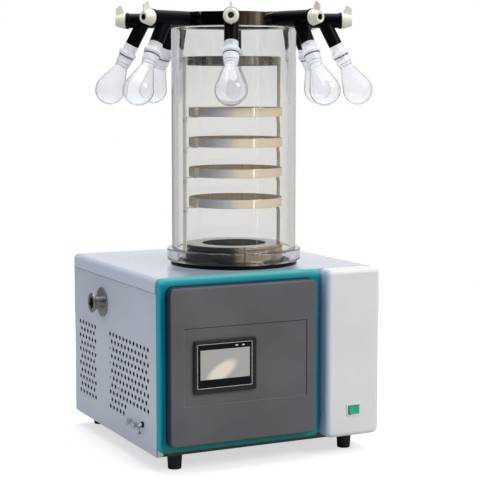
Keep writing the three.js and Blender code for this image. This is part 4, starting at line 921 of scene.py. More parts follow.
# %% Bezel
BEZEL = (0, 347, 39, 375, 15)
BEZEL_FRONT = span("front_bezel")[0].y
WINDOW = (13.7, 328.3, 53.7, 359.3, 12.3)
moulding("bezel", "front_bezel", BEZEL, BEZEL_FRONT, 7, [
    (grown(WINDOW, 0.8), BEZEL_FRONT), (WINDOW, BEZEL_FRONT + 0.8), (WINDOW, BACK),
    (grown(WINDOW, WALL), BACK), (grown(WINDOW, WALL), BEZEL_FRONT + WALL),
], TEAL)

# %% Grey panel with its sunk label field
PANEL = (14, 328, 54, 359, 12)
PANEL_FRONT = span("front_panel")[0].y
FIELD = (42, 305, 130, 281, 1)
FIELD_FLOOR = PANEL_FRONT + 1
SCREEN = (61, 192, 154, 256, 4)
SCREEN_CUTOUT = (66, 187, 159, 251, 0.5)
moulding("panel", "front_panel", PANEL, PANEL_FRONT, 5, [
    (grown(FIELD, 0.15), PANEL_FRONT), (FIELD, PANEL_FRONT + 0.15), (FIELD, FIELD_FLOOR),
    (SCREEN_CUTOUT, FIELD_FLOOR), (SCREEN_CUTOUT, PANEL_FRONT + WALL),
], PANEL_GREY)

# Painted shade lines run where the label field's floor meets its upper and right walls, and painted highlight
# lines along its lower and left edges
LINE_WIDTH = 1.5
GLINT_WIDTH = 0.8


def field_lines(name, edges, material):
    """Thin lines on the label field's floor, for painted shade and painted highlight. Each edge is its two
    corners, in x and z.
    """
    boxes = [((x0, FIELD_FLOOR - 0.12, z0), (x1, FIELD_FLOOR + 0.05, z1)) for x0, z0, x1, z1 in edges]
    detail(bars(name, boxes, 0.03, material, placed()), "front_panel")


LEFT, RIGHT, LOW, HIGH = FIELD[:4]
field_lines("field_shade", [
    (LEFT, HIGH - LINE_WIDTH, RIGHT, HIGH), (RIGHT - LINE_WIDTH, LOW, RIGHT, HIGH - LINE_WIDTH),
], FIELD_SHADE)
field_lines("field_glint", [
    (LEFT, LOW, RIGHT - LINE_WIDTH, LOW + GLINT_WIDTH),
    (LEFT, LOW + GLINT_WIDTH, LEFT + GLINT_WIDTH, HIGH - LINE_WIDTH),
], FIELD_GLINT)

# %% Column
COLUMN = (350, 470, 37, 374, 13)
COLUMN_FRONT = span("column_cover")[0].y
SWITCH_X, SWITCH_Z = 409.5, 91
SWITCH_CUTOUT = around(SWITCH_X, SWITCH_Z, 14.7, 11.2, 0.5)
moulding("column", "column_cover", COLUMN, COLUMN_FRONT, 10, [
    (SWITCH_CUTOUT, COLUMN_FRONT), (SWITCH_CUTOUT, COLUMN_FRONT + WALL),
], COLUMN_WHITE)

# %% [markdown]
# ## The touch screen
# The screen module is a matt black frame with a bright trim line round black glass. The lit area
# shows a quiet grey with one pale band, which is a painted reflection. It is a material of its own: a
# soft gradient, and a band made from the distance to a slanted line. It glows faintly, as a backlit
# display does, and the painted reflection glows with it.

# %% Frame, trim and glass
SCREEN_FRONT = span("touch_screen")[0].y
GLASS_FIELD = (67, 183, 164, 249.5, 1.5)
GLASS_Y = SCREEN_FRONT + 0.8
TRIM_WIDTH = 1.3
INSIDE_TRIM = grown(GLASS_FIELD, -TRIM_WIDTH)
screen_frame = lofted("screen_bezel", [
    *layers((SCREEN, FIELD_FLOOR - 0.1)),
    *edge_loops(SCREEN, SCREEN_FRONT, 1.6),
    *layers((grown(GLASS_FIELD, 0.2), SCREEN_FRONT), (GLASS_FIELD, GLASS_Y)),
], FRAME_BLACK)
screen_body = bars(
    "screen_body", [((66.3, PANEL_FRONT, 159.3), (186.7, PANEL_FRONT + 30, 250.7))], 0.6,
    FRAME_BLACK, placed())
stand_for(merged("screen_frame", [screen_frame, screen_body]), "touch_screen")
trim = lofted("screen_trim", layers(
    (GLASS_FIELD, GLASS_Y), (grown(GLASS_FIELD, -0.25), GLASS_Y - 0.45),
    (grown(GLASS_FIELD, 0.25 - TRIM_WIDTH), GLASS_Y - 0.45), (INSIDE_TRIM, GLASS_Y),
), SILVER_TRIM, closed=True)
detail(trim, "touch_screen")
glass_plate = lofted(
    "screen_glass_plate", layers((INSIDE_TRIM, GLASS_Y + 0.05), (INSIDE_TRIM, GLASS_Y - 0.1)), GLOSS_BLACK)
detail(glass_plate, "touch_screen")
print("glass field:", GLASS_FIELD[1] - GLASS_FIELD[0], "mm wide")

# %% Lit area
DISPLAY = (73.8, 177.5, 181, 238, 0.4)
# The pale band is a painted reflection, slanted across the lit area.
BAND_MIDDLE = spot(DISPLAY[0] + 44, 0, DISPLAY[2] + 14)
BAND_LEAN = math.radians(-32)
BAND_SIZE = (0.041, 1, 0.0175)  # in metres


def display_finish():
    lit = new_finish("lit_display", "#A5A49E", 0.2, Specular_IOR_Level=0.2, Emission_Strength=0.15)
    tree = lit.node_tree
    slanted = wired(tree, "Mapping", {
        "Vector": coordinates(tree), "Location": BAND_MIDDLE, "Rotation": (0, BAND_LEAN, 0),
        "Scale": BAND_SIZE,
    }, vector_type="TEXTURE")
    reach = vectors(tree, "LENGTH", vectors(tree, "MULTIPLY", slanted, (1, 0, 1)), output="Value")
    lit_grey_and_painted_reflection = ramp(tree, reach, [(0.6, "#DDD4C4"), (1.0, "#A5A49E")])
    adjust(lit, Base_Color=lit_grey_and_painted_reflection, Emission_Color=lit_grey_and_painted_reflection)
    return lit


display = lofted(
    "screen_display", layers((DISPLAY, GLASS_Y - 0.08), (DISPLAY, GLASS_Y - 0.16)), display_finish())
detail(display, "touch_screen")
LAMP_WHITE = new_finish("indicator_white", "#E9EEF0", 0.3)
lamps = bars("screen_lamps", [
    ((x, GLASS_Y - 0.16, 242.2), (x + 5.4, GLASS_Y - 0.05, 244.2)) for x in (147, 161)
], 0.03, LAMP_WHITE, placed())
detail(lamps, "touch_screen")
print("lit area:", round(DISPLAY[1] - DISPLAY[0], 1), "mm wide")

# %% [markdown]
# ## The mains switch
# A light frame clips into the column, and the green rocker tips inside it. Its two faces meet in a
# shallow V over the pivot. The outline is the solid's own, given softer edges.

# %% Switch frame and rocker
SWITCH_FRONT = span("switch_housing")[0].y
SWITCH_OUTER = around(SWITCH_X, SWITCH_Z, 16, 12.5, 2)
SWITCH_WELL = around(SWITCH_X, SWITCH_Z, 12.8, 9.3, 0.6)
SWITCH_BODY = around(SWITCH_X, SWITCH_Z, 14.4, 10.9, 0.5)
switch_frame = lofted("switch_frame", [
    *layers(
        (SWITCH_WELL, COLUMN_FRONT + 16), (SWITCH_WELL, SWITCH_FRONT + 0.5),
        (grown(SWITCH_WELL, 0.5), SWITCH_FRONT)),
    *edge_loops(SWITCH_OUTER, SWITCH_FRONT, 0.9)[::-1],
    *layers(
        (SWITCH_OUTER, COLUMN_FRONT - 0.1), (SWITCH_BODY, COLUMN_FRONT - 0.1),
        (SWITCH_BODY, COLUMN_FRONT + 19)),
], LIGHT_PLASTIC)
stand_for(switch_frame, "switch_housing")

ROCKER_HALF = 11.8
ROCKER_HEIGHT = 8.9
ROCKER_EDGE = 0.4
ROCKER_LEAN = math.radians(9)
ROCKER_RISE = ROCKER_HALF * math.tan(ROCKER_LEAN)
rocker_outline = eased([
    (-ROCKER_HALF, -5 - ROCKER_RISE / 2), (0, -5 + ROCKER_RISE / 2), (ROCKER_HALF, -5 - ROCKER_RISE / 2),
    (ROCKER_HALF, 0), (7, 5), (-7, 5), (-ROCKER_HALF, 0),
], 0.6)
rocker_levels = [
    (-ROCKER_HEIGHT, ROCKER_EDGE), (ROCKER_EDGE - ROCKER_HEIGHT, 0),
    (ROCKER_HEIGHT - ROCKER_EDGE, 0), (ROCKER_HEIGHT, ROCKER_EDGE),
]
rocker = lofted("rocker", [
    [Vector((u, v, 0)) * (1 - inset / ROCKER_HALF) * MM + Vector((0, 0, z * MM)) for u, v in rocker_outline]
    for z, inset in rocker_levels
], ROCKER_GREEN, placed(SWITCH_X, SWITCH_FRONT + 5, SWITCH_Z) @ Matrix.Rotation(ROCKER_LEAN, 4, "Z"))
stand_for(rocker, "switch_rocker")
print("rocker rides on", BODY_OF["switch_rocker"])

# %% [markdown]
# ## Fittings on the left side
# The vacuum port is a turned stainless flange on a tube, with a round plate against the panel. A
# hose from the pump clamps onto the flange. Low down sit a drain valve and an air valve with small
# turned knobs, and a plastic spout that bends down.

# %% Vacuum port
PORT_FACE = span("vacuum_port")[0].x
PORT_BEND_X = 196
PORT_SCREW_RADIUS = 24.5


def across(y, z):
    """A placement on the left side whose own z axis points into the cabinet."""
    return place_along(spot(0, y, z), (1, 0, 0))


flange = turned("port_flange", [
    (12, PORT_FACE), (13.2, PORT_FACE), (20, PORT_FACE), (20, PORT_FACE + 3), (14, PORT_FACE + 6.5),
    (14, -3.3), (30, -3.3), (30, -0.3), (12, -0.3),
], FITTING_STEEL, across(PORT_Y, PORT_Z), 96, 0.5, closed=True)
port_path = elbow(
    spot(-0.5, PORT_Y, PORT_Z), spot(PORT_BEND_X, PORT_Y, PORT_Z), spot(PORT_BEND_X, AXIS_Y + 86, PORT_Z), 28)
port_pipe = swept("port_pipe", port_path, 14, 12, FITTING_STEEL)
stand_for(merged("port", [flange, port_pipe]), "vacuum_port")
for index, (y, z) in enumerate(arc(PORT_Y, PORT_Z, PORT_SCREW_RADIUS, 45, 270, 3)):
    screw(f"port_screw_{index + 1}", spot(-3.2, y, z), (-1, 0, 0), "vacuum_port")
print("port face at", round(PORT_FACE, 1), "mm")

# %% Drain valve, air valve and spout
KNURLS = 20
KNURL_DEPTH = 0.22
KNOB_SECTION = [  # radius, place along x, and whether the knurls run there
    (2.5, -4.85, 0), (5.4, -4.85, 0), (6.2, -5.6, 1), (6.2, -10.9, 1), (5.6, -11.6, 0), (4.2, -11.8, 0),
    (3.9, -11.5, 0), (2.4, -11.5, 0), (2.4, -11.0, 0),
]


def knob_loop(base, x, knurled, sides=6 * KNURLS):
    """A ring round a small turned knob, with knurls on its rim."""
    loop = []
    for k in range(sides):
        angle = 2 * math.pi * k / sides
        radius = base + knurled * KNURL_DEPTH * math.cos(KNURLS * angle)
        loop.append((x * MM, radius * MM * math.cos(angle), radius * MM * math.sin(angle)))
    return loop


for name, y in (("drain_valve", DRAIN_Y), ("air_valve", AIR_Y)):
    knob = lofted(
        name + "_hand_knob", [knob_loop(*level) for level in KNOB_SECTION], KNOB_CHROME,
        placed(0, y, FITTING_Z), closed=True)
    stand_for(knob, name + "_knob")
    body = turned(name + "_fitting", [
        (0, -11.6), (1.9, -11.6), (1.9, -4.8), (5, -4.8), (5, -0.3), (3, -0.3), (3, 14), (0, 14),
    ], KNOB_CHROME, across(y, FITTING_Z), 36, 0.25)
    stand_for(body, name + "_body")

SPOUT_X = -6.9
collar = turned("spout_collar", [
    (2, -3.3), (5.4, -3.3), (6, -2.7), (6, -0.3), (2, -0.3),
], BLACK_RUBBER, across(SPOUT_Y, SPOUT_Z), 40, 0.3, closed=True)
detail(collar, "drain_spout")
spout_path = elbow(
    spot(14, SPOUT_Y, SPOUT_Z), spot(SPOUT_X, SPOUT_Y, SPOUT_Z), spot(SPOUT_X, SPOUT_Y, SPOUT_Z - 17.9), 3.4)
stand_for(swept("spout_pipe", spout_path, 3.1, 1.8, LIGHT_PLASTIC, 28), "drain_spout")
print("fittings done")

# %% [markdown]
# ## Inside the cabinet
# Little of the inside shows through the vents, but the piece is used from all sides and may be
# opened, so the hidden parts are there too: the cold trap under the chamber in its foam, the
# compressor, the condenser with its fan, and an electrical box.

# %% Cold trap and foam
TRAP_LOW, TRAP_HIGH = span("cold_trap")
TRAP_BOTTOM = 212
TRAP_RADIUS = 96.5
TRAP_INSIDE = 95
TRAP_RIM = 118
COIL_PITCH = 16
coil = [
    (radius, TRAP_BOTTOM + COIL_PITCH * turn + rise)
    for turn in (1, 2, 3)
    for radius, rise in (
        (TRAP_RADIUS, -4), (100, -4), (104.4, -1.5), (104.4, 1.5), (100, 4), (TRAP_RADIUS, 4))
]
trap = turned("trap", [
    (4.5, TRAP_LOW.z), (6, TRAP_LOW.z), (6, TRAP_BOTTOM), (TRAP_RADIUS, TRAP_BOTTOM), *coil,
    (TRAP_RADIUS, 374), (TRAP_RIM, 374), (TRAP_RIM, TRAP_HIGH.z), (TRAP_INSIDE, TRAP_HIGH.z),
    (TRAP_INSIDE, TRAP_BOTTOM + 1.5), (4.5, TRAP_BOTTOM + 1.5),
], TRAY_STEEL, on_axis(), closed=True)
drilled(trap, 12, 40, 122, place_along(spot(PORT_BEND_X, AXIS_Y, PORT_Z), (0, 1, 0)))
stand_for(trap, "cold_trap")

FOAM = moulded_plastic("insulating_foam", "#C9B98C", "#DCCDA2", 0.9, 0.4, 240)
FAN_BLACK = moulded_plastic("fan_plastic", "#17181A", "#202225", 0.5)
FIN_ALUMINIUM = flat_steel("fin_aluminium", "#B4B7BA", 0.35)
ENAMEL = powder_coat("compressor_enamel", "#101214", "#181A1D", 0.3)
for node, finish in {
    "trap_foam": FOAM, "condenser": FIN_ALUMINIUM, "fan_rotor": FAN_BLACK, "electrical_box": PAN_GREY,
    "power_inlet": INLET_BLACK,
}.items():
    dress(node, finish)

# %% Compressor
CAN_TOP = span("compressor")[1].z
CAN_X, CAN_Y = middle("compressor")
CAN_RADIUS = 72
SEAM_RADIUS = 75
SEAM = (48 + CAN_TOP) / 2
PLATE_HALF = 66
PAD_OFFSET = 54
can = turned("compressor_can", [
    (0, 47.5), (58, 47.5), (CAN_RADIUS, 62), (CAN_RADIUS, SEAM - 3), (SEAM_RADIUS, SEAM - 3),
    (SEAM_RADIUS, SEAM + 3), (CAN_RADIUS, SEAM + 3), (CAN_RADIUS, 186), (56, 207), (29, CAN_TOP),
    (0, CAN_TOP),
], ENAMEL, placed(CAN_X, CAN_Y), 64, 6)
plate = bars(
    "compressor_plate", [((-PLATE_HALF, -PLATE_HALF, 45), (PLATE_HALF, PLATE_HALF, 48))], 1, ENAMEL,
    placed(CAN_X, CAN_Y))
pads = [
    turned(
        "compressor_pad", [(0, 33), (9, 33), (9, 45.2), (0, 45.2)], FOOT_RUBBER,
        placed(CAN_X + sx * PAD_OFFSET, CAN_Y + sy * PAD_OFFSET), 24, 1)
    for sx in (-1, 1) for sy in (-1, 1)
]
stand_for(merged("compressor_set", [can, plate, *pads], [ENAMEL]), "compressor")
print("inside done")

# %% [markdown]
# ## Chamber, rack and trays
# The chamber is a thick clear acrylic tube with a heavier ring at its foot, on a black rubber seal.
# Inside it a stainless rack stands on a round base: two flat posts carry a ledge under each tray and
# a hoop at the top. The trays are shallow pans of thin sheet.

# %% Seal and clear tube
SEAL_LOW, SEAL_HIGH = span("seat_gasket")
seal = turned("chamber_seal", [
    (104, SEAL_LOW.z), (129, SEAL_LOW.z), (128.5, SEAL_LOW.z + 1.2), (124, SEAL_LOW.z + 2),
    (124, SEAL_HIGH.z), (104, SEAL_HIGH.z),
], GASKET_RUBBER, on_axis(), 128, 0.8, closed=True)
stand_for(seal, "seat_gasket")

TUBE_LOW, TUBE_HIGH = span("chamber_tube")
TUBE_RADIUS = 126
TUBE_INSIDE = 116
FOOT_RING_RADIUS = 136
FOOT_RING_TOP = TUBE_LOW.z + 23
tube = turned("clear_tube", [
    (TUBE_INSIDE, TUBE_LOW.z), (FOOT_RING_RADIUS, TUBE_LOW.z), (FOOT_RING_RADIUS, FOOT_RING_TOP),
    (TUBE_RADIUS, FOOT_RING_TOP), (TUBE_RADIUS, TUBE_HIGH.z), (TUBE_INSIDE, TUBE_HIGH.z),
], ACRYLIC, on_axis(), 192, 2.2, closed=True, steps=5)
tube.visible_shadow = False
stand_for(tube, "chamber_tube")
print("tube:", round(TUBE_HIGH.z - TUBE_LOW.z), "mm tall")

# %% Trays
TRAY_RADIUS = 95
TRAY_RIM = 18
TRAY_WALL = 1.2
tray_form = turned("tray_form", [
    (0, 0), (TRAY_RADIUS, 0), (TRAY_RADIUS, TRAY_RIM), (TRAY_RADIUS - TRAY_WALL, TRAY_RIM),
    (TRAY_RADIUS - TRAY_WALL, TRAY_WALL), (0, TRAY_WALL),
], [TRAY_STEEL, TRAY_INSIDE], None, 160, 0.5, steps=2)
# The inner faces take the steel with the painted reflection.
coloured(tray_form, lambda face: face.center.xy.length < (TRAY_RADIUS - 0.9) * MM and face.center.z > MM)
TRAY = form_of(tray_form)
tray_bottoms = []
for number in (1, 2, 3, 4):
    node = f"tray_{number}"
    tray_bottoms.append(span(node)[0].z)
    stand_for(added(f"drying_{node}", TRAY, placed(*middle(node), tray_bottoms[-1])), node)
print("tray floors at", [round(bottom) for bottom in tray_bottoms], "mm")

# %% Rack
RACK_LOW, RACK_HIGH = span("tray_rack")
BASE_TOP = 416
POST_FACE = 107
POST_HALF = 7.5
base_ring = turned("rack_base", [
    (98.5, RACK_LOW.z), (100, RACK_LOW.z), (100, BASE_TOP), (65, BASE_TOP), (65, BASE_TOP - 1.5),
    (98.5, BASE_TOP - 1.5),
], BASE_STEEL, on_axis(), 128, 1.0, closed=True)
hoop = turned("rack_hoop", [
    (93.8, 775), (95, 775), (95, RACK_HIGH.z), (93.8, RACK_HIGH.z),
], HOOP_STEEL, on_axis(), 128, 0.3, closed=True)
post_boxes = [
    ((105, -POST_HALF, BASE_TOP - 26), (POST_FACE, POST_HALF, RACK_HIGH.z)),
    ((98.6, -POST_HALF / 2, BASE_TOP - 9), (106.5, POST_HALF / 2, BASE_TOP - 6)),
    ((93.9, -POST_HALF / 2, RACK_HIGH.z - 6), (106.5, POST_HALF / 2, RACK_HIGH.z - 4.5)),
]
for bottom in tray_bottoms:
    top = bottom - 0.3
    post_boxes.append(((81, -POST_HALF, top - 1.5), (105.4, POST_HALF, top)))
    post_boxes.append(((103.5, -POST_HALF, top - 12), (105.4, POST_HALF, top)))
posts = [
    bars(
        f"rack_post_{side}", post_boxes, 0.35, POST_STEEL,
        on_axis() @ Matrix.Rotation(side * math.pi, 4, "Z"))
    for side in (0, 1)
]
coloured(base_ring, lambda face: 1)
for post in posts:
    coloured(post, lambda face: 2)
rack = merged("rack", [hoop, base_ring, *posts], [HOOP_STEEL, BASE_STEEL, POST_STEEL])
stand_for(rack, "tray_rack")
for side, way in enumerate((1, -1)):
    for index, bottom in enumerate([*tray_bottoms, RACK_HIGH.z + 3.5]):
        point = spot(AXIS_X + way * POST_FACE, AXIS_Y, bottom - 8)
        screw(f"rack_screw_{side + 1}_{index + 1}", point, (way, 0, 0), "tray_rack")
print("rack:", len(rack.data.polygons), "faces")

# %% [markdown]
# ## The manifold
# The drum closes the chamber. It is a shallow polished pan turned upside down, with a short nipple
# for each valve. Each rubber valve is pushed over its nipple, and its branch leans out and down to
# hold a flask. A plastic plug with a finned knob turns in the valve: one way it opens the flask to
# the vacuum, the other way it lets air in through the hole in the knob.

# %% Stations round the drum
FIRST_STATION = -27 - 90  # bearing of the first valve, in degrees
VALVE_Z = 864
ALONG_X = Matrix.Rotation(math.pi / 2, 4, "Y")
stations = [
    on_axis(VALVE_Z) @ Matrix.Rotation(math.radians(FIRST_STATION + 45 * k), 4, "Z") for k in range(8)
]
print("stations:", len(stations))

# %% Drum
DRUM_LOW, DRUM_HIGH = span("manifold_drum")
DRUM_RADIUS = 126
NIPPLE_BORE = 7.4
drum = turned("drum_pan", [
    (0, DRUM_HIGH.z - 3), (DRUM_RADIUS - 3, DRUM_HIGH.z - 3), (DRUM_RADIUS - 3, DRUM_LOW.z + 3),
    (92, DRUM_LOW.z + 3), (92, DRUM_LOW.z), (DRUM_RADIUS, DRUM_LOW.z), (DRUM_RADIUS, DRUM_HIGH.z),
    (0, DRUM_HIGH.z),
], DRUM_STEEL, on_axis(), 192, 1.2)
for station in stations:
    drilled(drum, NIPPLE_BORE, 118, 130, station @ ALONG_X, 32)
nipples = [
    turned(
        "nipple", [(NIPPLE_BORE, 125), (9.2, 125), (9.2, 159.8), (NIPPLE_BORE, 159.8)], DRUM_STEEL,
        station @ ALONG_X, 40, 0.4, closed=True)
    for station in stations
]
drum = merged("drum", [drum, *nipples], [DRUM_STEEL, DRUM_TOP])
coloured(drum, lambda face: face.normal.z > 0.9)
stand_for(drum, "manifold_drum")
print("drum:", len(drum.data.polygons), "faces")

# %% Rubber valve body
BARREL_START = 126.3
BARREL_END = 217
BARREL_RADIUS = 14.65
LIP_RADIUS = 16.3
BARREL_BORE = 9.4
BRANCH_FROM = 180.6
BRANCH_TILT = math.radians(27)
BRANCH_LENGTH = 54.5
LEANING = Matrix.Rotation(-BRANCH_TILT, 4, "Y")
UP_BRANCH = Matrix.Translation((BRANCH_FROM * MM, 0, 0)) @ LEANING
barrel = turned("barrel", [
    (0, BARREL_START), (BARREL_RADIUS, BARREL_START), (BARREL_RADIUS, BARREL_END - 6.4),
    (LIP_RADIUS, BARREL_END - 5.6), (LIP_RADIUS, BARREL_END), (0, BARREL_END),
], BLACK_RUBBER, ALONG_X, 56, 1.2)
branch = turned("branch", [
    (0, -BRANCH_LENGTH), (13.75, -BRANCH_LENGTH), (13.75, 0), (0, 0),
], BLACK_RUBBER, UP_BRANCH, 56, 0.8)
carved(barrel, branch, "UNION")
drilled(barrel, BARREL_BORE, 120, 160, ALONG_X)
drilled(barrel, BARREL_BORE, 159, 220, ALONG_X)
drilled(barrel, 9.1, -BRANCH_LENGTH - 1, 0, UP_BRANCH)
VALVE_BODY = form_of(barrel)
print("valve body:", len(VALVE_BODY.polygons), "faces")

# %% Plug with its finned knob
KNOB_START = BARREL_END + 0.3
KNOB_END = KNOB_START + 20.5
AIR_HOLE_RADIUS = 5.75
AIR_HOLE_END = KNOB_END - 32
plug = turned("plug_form", [
    (5.6, 166), (8.5, 166), (8.5, KNOB_START), (15, KNOB_START), (15, KNOB_START + 1.6),
    (14.0, KNOB_START + 9), (10.7, KNOB_END), (7.4, KNOB_END), (AIR_HOLE_RADIUS, KNOB_END - 1.2),
    (AIR_HOLE_RADIUS, AIR_HOLE_END), (0, AIR_HOLE_END), (0, 194), (5.6, 194),
], IVORY, ALONG_X, 56, 0.5)
FIN = [
    (KNOB_START + 0.7, -14), (KNOB_START + 1.0, -16.4), (KNOB_END - 2, -11.6), (KNOB_END - 0.5, -9.6),
    (KNOB_END - 0.5, 9), (KNOB_END - 0.5, 24.5), (KNOB_START + 11, 30.8), (KNOB_START + 9, 30.8),
    (KNOB_START + 2, 14.4),
]
FIN_MIDDLE = Vector((KNOB_START + 10, 6))


def fin_loop(y, inset):
    """The fin's outline, drawn in towards its middle by inset."""
    moved = [Vector(point) + (FIN_MIDDLE - Vector(point)).normalized() * inset for point in eased(FIN, 1.2)]
    return [(point.x * MM, y * MM, point.y * MM) for point in moved]


FIN_LEVELS = [(-1.7, 0.5), (-1.3, 0), (1.3, 0), (1.7, 0.5)]
fin = lofted("fin_form", [fin_loop(y, inset) for y, inset in FIN_LEVELS], IVORY)
drilled(fin, AIR_HOLE_RADIUS, AIR_HOLE_END, KNOB_END + 2, ALONG_X, 56)
carved(plug, fin, "UNION")
PLUG = form_of(plug)
PLUG.materials.append(HOLE_SHADE)
for face in PLUG.polygons:
    if face.center.yz.length < (AIR_HOLE_RADIUS + 0.15) * MM and face.center.x > KNOB_START * MM:
        face.material_index = 1
print("plug:", len(PLUG.polygons), "faces")

# %% [markdown]
# ### Flasks
# Each flask is blown glass with a ground joint. Its adapter has a spigot that pushes into the
# branch, a frosted neck and a rounded collar with a dark seal ring under it. Below the joint the
# glass opens into a clear pear-shaped bulb. Its section is drawn down the flask's own axis, inside
# and outside, so that light bends at both surfaces. A second material index makes the ground
# stretches frosted, and a third draws two faint lines round the joint.

# %% Flask section
NECK = 13.8
BULB_AT = 100
BULB_RADIUS = 30
GLASS_WALL = 1.3
JOINT_END = 49
JOINT_END_RADIUS = 12.9
FROST_FROM = -0.3
FROST_TO = -50
FROST_LINES = (-39.8, -45.6)


def bulb_section(neck, radius, steps):
    """From the joint's end down to the axis: a straight shoulder that touches the round bulb."""
    drop = BULB_AT - JOINT_END
    lean = math.degrees(math.asin(radius / math.hypot(neck, drop)) - math.atan2(neck, drop))
    return [(max(u, 0), v) for u, v in arc(0, -BULB_AT, radius, lean, -90 - lean, steps)]


outside = [
    (8.8, 18), (8.8, -0.3), (NECK, -0.3), (NECK, -13), (15.2, -15.2), (17.6, -16.6), (18.2, -18.6),
    (18.2, -20.6), (17.4, -22.6), (15.2, -24.0), (15.2, -26.4), (15.4, -27), (14.8, -38), (14.65, -39.2),
    (14.3, -40.4), (13.6, -45), (13.4, -46.2),
    (JOINT_END_RADIUS, -JOINT_END), *bulb_section(JOINT_END_RADIUS, BULB_RADIUS, 22),
]
inside = [
    (6.6, 18), (6.6, -26), (11.4, -30), (11.2, -JOINT_END + 3),
    *bulb_section(JOINT_END_RADIUS - GLASS_WALL, BULB_RADIUS - GLASS_WALL, 18),
]
flask_section = eased(inside[::-1] + outside, 0.9, False, 2)


def ground(row):
    """Which rows of faces are frosted: the outside of the neck, collar and joint."""
    low, high = sorted((flask_section[row][1], flask_section[row + 1][1]))
    radius = max(flask_section[row][0], flask_section[row + 1][0])
    if high > FROST_FROM + 0.01 or low < FROST_TO or radius < 11.5:
        return 0
    return 2 if any(abs((low + high) / 2 - line) < 0.65 for line in FROST_LINES) else 1


FLASK = form_of(turned(
    "flask_form", flask_section, [CLEAR_GLASS, FROSTED_GLASS, FROST_LINE], None, 64, 0, index_of=ground))
SEAL_RING = form_of(turned("ring_form", [
    (14.6, -26.5), (16.0, -26.5), (16.0, -24.2), (14.6, -24.2),
], RING_RUBBER, None, 64, 0.8, closed=True))
print("flask:", len(FLASK.polygons), "faces")

# %% Eight stations
BRANCH_END = Vector((
    BRANCH_FROM + BRANCH_LENGTH * math.sin(BRANCH_TILT), 0, -BRANCH_LENGTH * math.cos(BRANCH_TILT)))
for number, station in enumerate(stations, 1):
    hanging = station @ Matrix.Translation(BRANCH_END * MM) @ LEANING
    stand_for(copy_of(f"rubber_valve_{number}", VALVE_BODY, station), f"valve_body_{number}")
    stand_for(copy_of(f"finned_plug_{number}", PLUG, station), f"valve_plug_{number}")
    flask = copy_of(f"glass_flask_{number}", FLASK, hanging)
    flask.visible_shadow = False
    stand_for(flask, f"flask_{number}")
    detail(copy_of(f"flask_seal_{number}", SEAL_RING, hanging), f"flask_{number}")
print("flasks:", number)

# %% [markdown]
# ## Floor, room and light
# The machine stands on a plain pale floor in a white room. The floor keeps the machine's soft
# shadow, and away from the machine it brightens into the white of the room, so that no horizon
# shows. The brightening is light that only the eye sees, so it adds none to the machine.

# %% Floor
FLOOR_RADIUS = 1.7
ROOM_WHITE = (1, 1, 1, 1)


def seen_directly(tree):
    """1 for what the eye sees straight or through clear parts, with nothing reflected on the way."""
    path = tree.nodes.new("ShaderNodeLightPath").outputs
    looks = combined(tree, "MAXIMUM", path["Is Camera Ray"], path["Is Transmission Ray"])
    bounces = combined(tree, "ADD", path["Glossy Depth"], path["Diffuse Depth"])
    return combined(tree, "MULTIPLY", looks, combined(tree, "LESS_THAN", bounces, 0.5))


def floor_finish():
    plain = new_finish("pale_floor", "#C4C5C7", 1.0, Specular_IOR_Level=0)
    tree = plain.node_tree
    distance = vectors(tree, "LENGTH", coordinates(tree), output="Value")
    glow = combined(tree, "MULTIPLY", mapped(tree, distance, 0.45, 1.5, 0.62, 1.0), seen_directly(tree))
    adjust(plain, Emission_Color=ROOM_WHITE, Emission_Strength=glow)
    return plain


disc = bmesh.new()
bmesh.ops.create_circle(disc, cap_ends=True, segments=96, radius=FLOOR_RADIUS)
made_of("floor", disc, floor_finish())
print("floor:", FLOOR_RADIUS, "m in radius")

# %% [markdown]
# ### The room that metal reflects
# Polished metal looks like what stands round it. A studio is white behind the object and dark
# round the camera, with a warm wall on one side and a cool window on the other. The world's colour
# is set by the bearing of each direction at three heights, so every polished piece picks up the
# same room. Only reflections see it. Clear parts are seen through to plain white, and where their
# walls bend light right round they take an even pale grey.

# %% World
VIEW_BEARING = math.radians(CAMERA_TURN)
TOWARDS_CAMERA = (-math.sin(VIEW_BEARING), -math.cos(VIEW_BEARING), 0)
TOWARDS_RIGHT = (math.cos(VIEW_BEARING), -math.sin(VIEW_BEARING), 0)
AMBIENT = (0.43, 0.45, 0.49, 1)
CEILING = paint("#D6DAE0")
WALL_GLOW = paint("#D2D4D8")  # what shows in the walls of the tube and of the flasks

# Bearing from the camera's side, in degrees to the right, and the colour seen there
ROOM_HIGH = [
    (-180, "#FFFFFF"), (-160, "#F2F4F6"), (-150, "#A8AEB8"), (-140, "#3C4048"), (-132, "#0B0C10"),
    (4, "#050507"), (10, "#4A4336"), (30, "#7A7060"), (50, "#8E8472"), (58, "#3A342E"), (62, "#0A0A0B"),
    (98, "#0C0C0D"), (112, "#8F8578"), (140, "#CFC6B8"), (156, "#F6F4F0"), (180, "#FFFFFF"),
]
ROOM_LEVEL = [
    (-180, "#F6F6F6"), (-172, "#CFCDCA"), (-163, "#5D5A55"), (-148, "#7E7B76"), (-125, "#959289"),
    (-90, "#93918F"), (-64, "#999EA9"), (-41, "#B3B7C0"), (-15, "#CFD1D4"), (-2, "#EDE8DD"),
    (12, "#FBF0DC"), (60, "#FFF1D9"), (100, "#FFF0D8"), (128, "#F3E2CB"), (150, "#E8DCCB"),
    (170, "#D6D0C6"), (180, "#F6F6F6"),
]
ROOM_LOW = [
    (-180, "#F6F6F6"), (-150, "#8A8C90"), (-125, "#5C6068"), (-108, "#2C2E36"), (-60, "#191A20"),
    (-12, "#16171C"), (1, "#2C2B2B"), (14, "#9A9184"), (30, "#B4A490"), (38, "#6E6458"), (46, "#C8B8A2"),
    (58, "#A4947F"), (68, "#F0E2CE"), (82, "#FFF0DA"), (96, "#BCAA92"), (112, "#F0E0CA"),
    (140, "#D8C8B4"), (180, "#F6F6F6"),
]


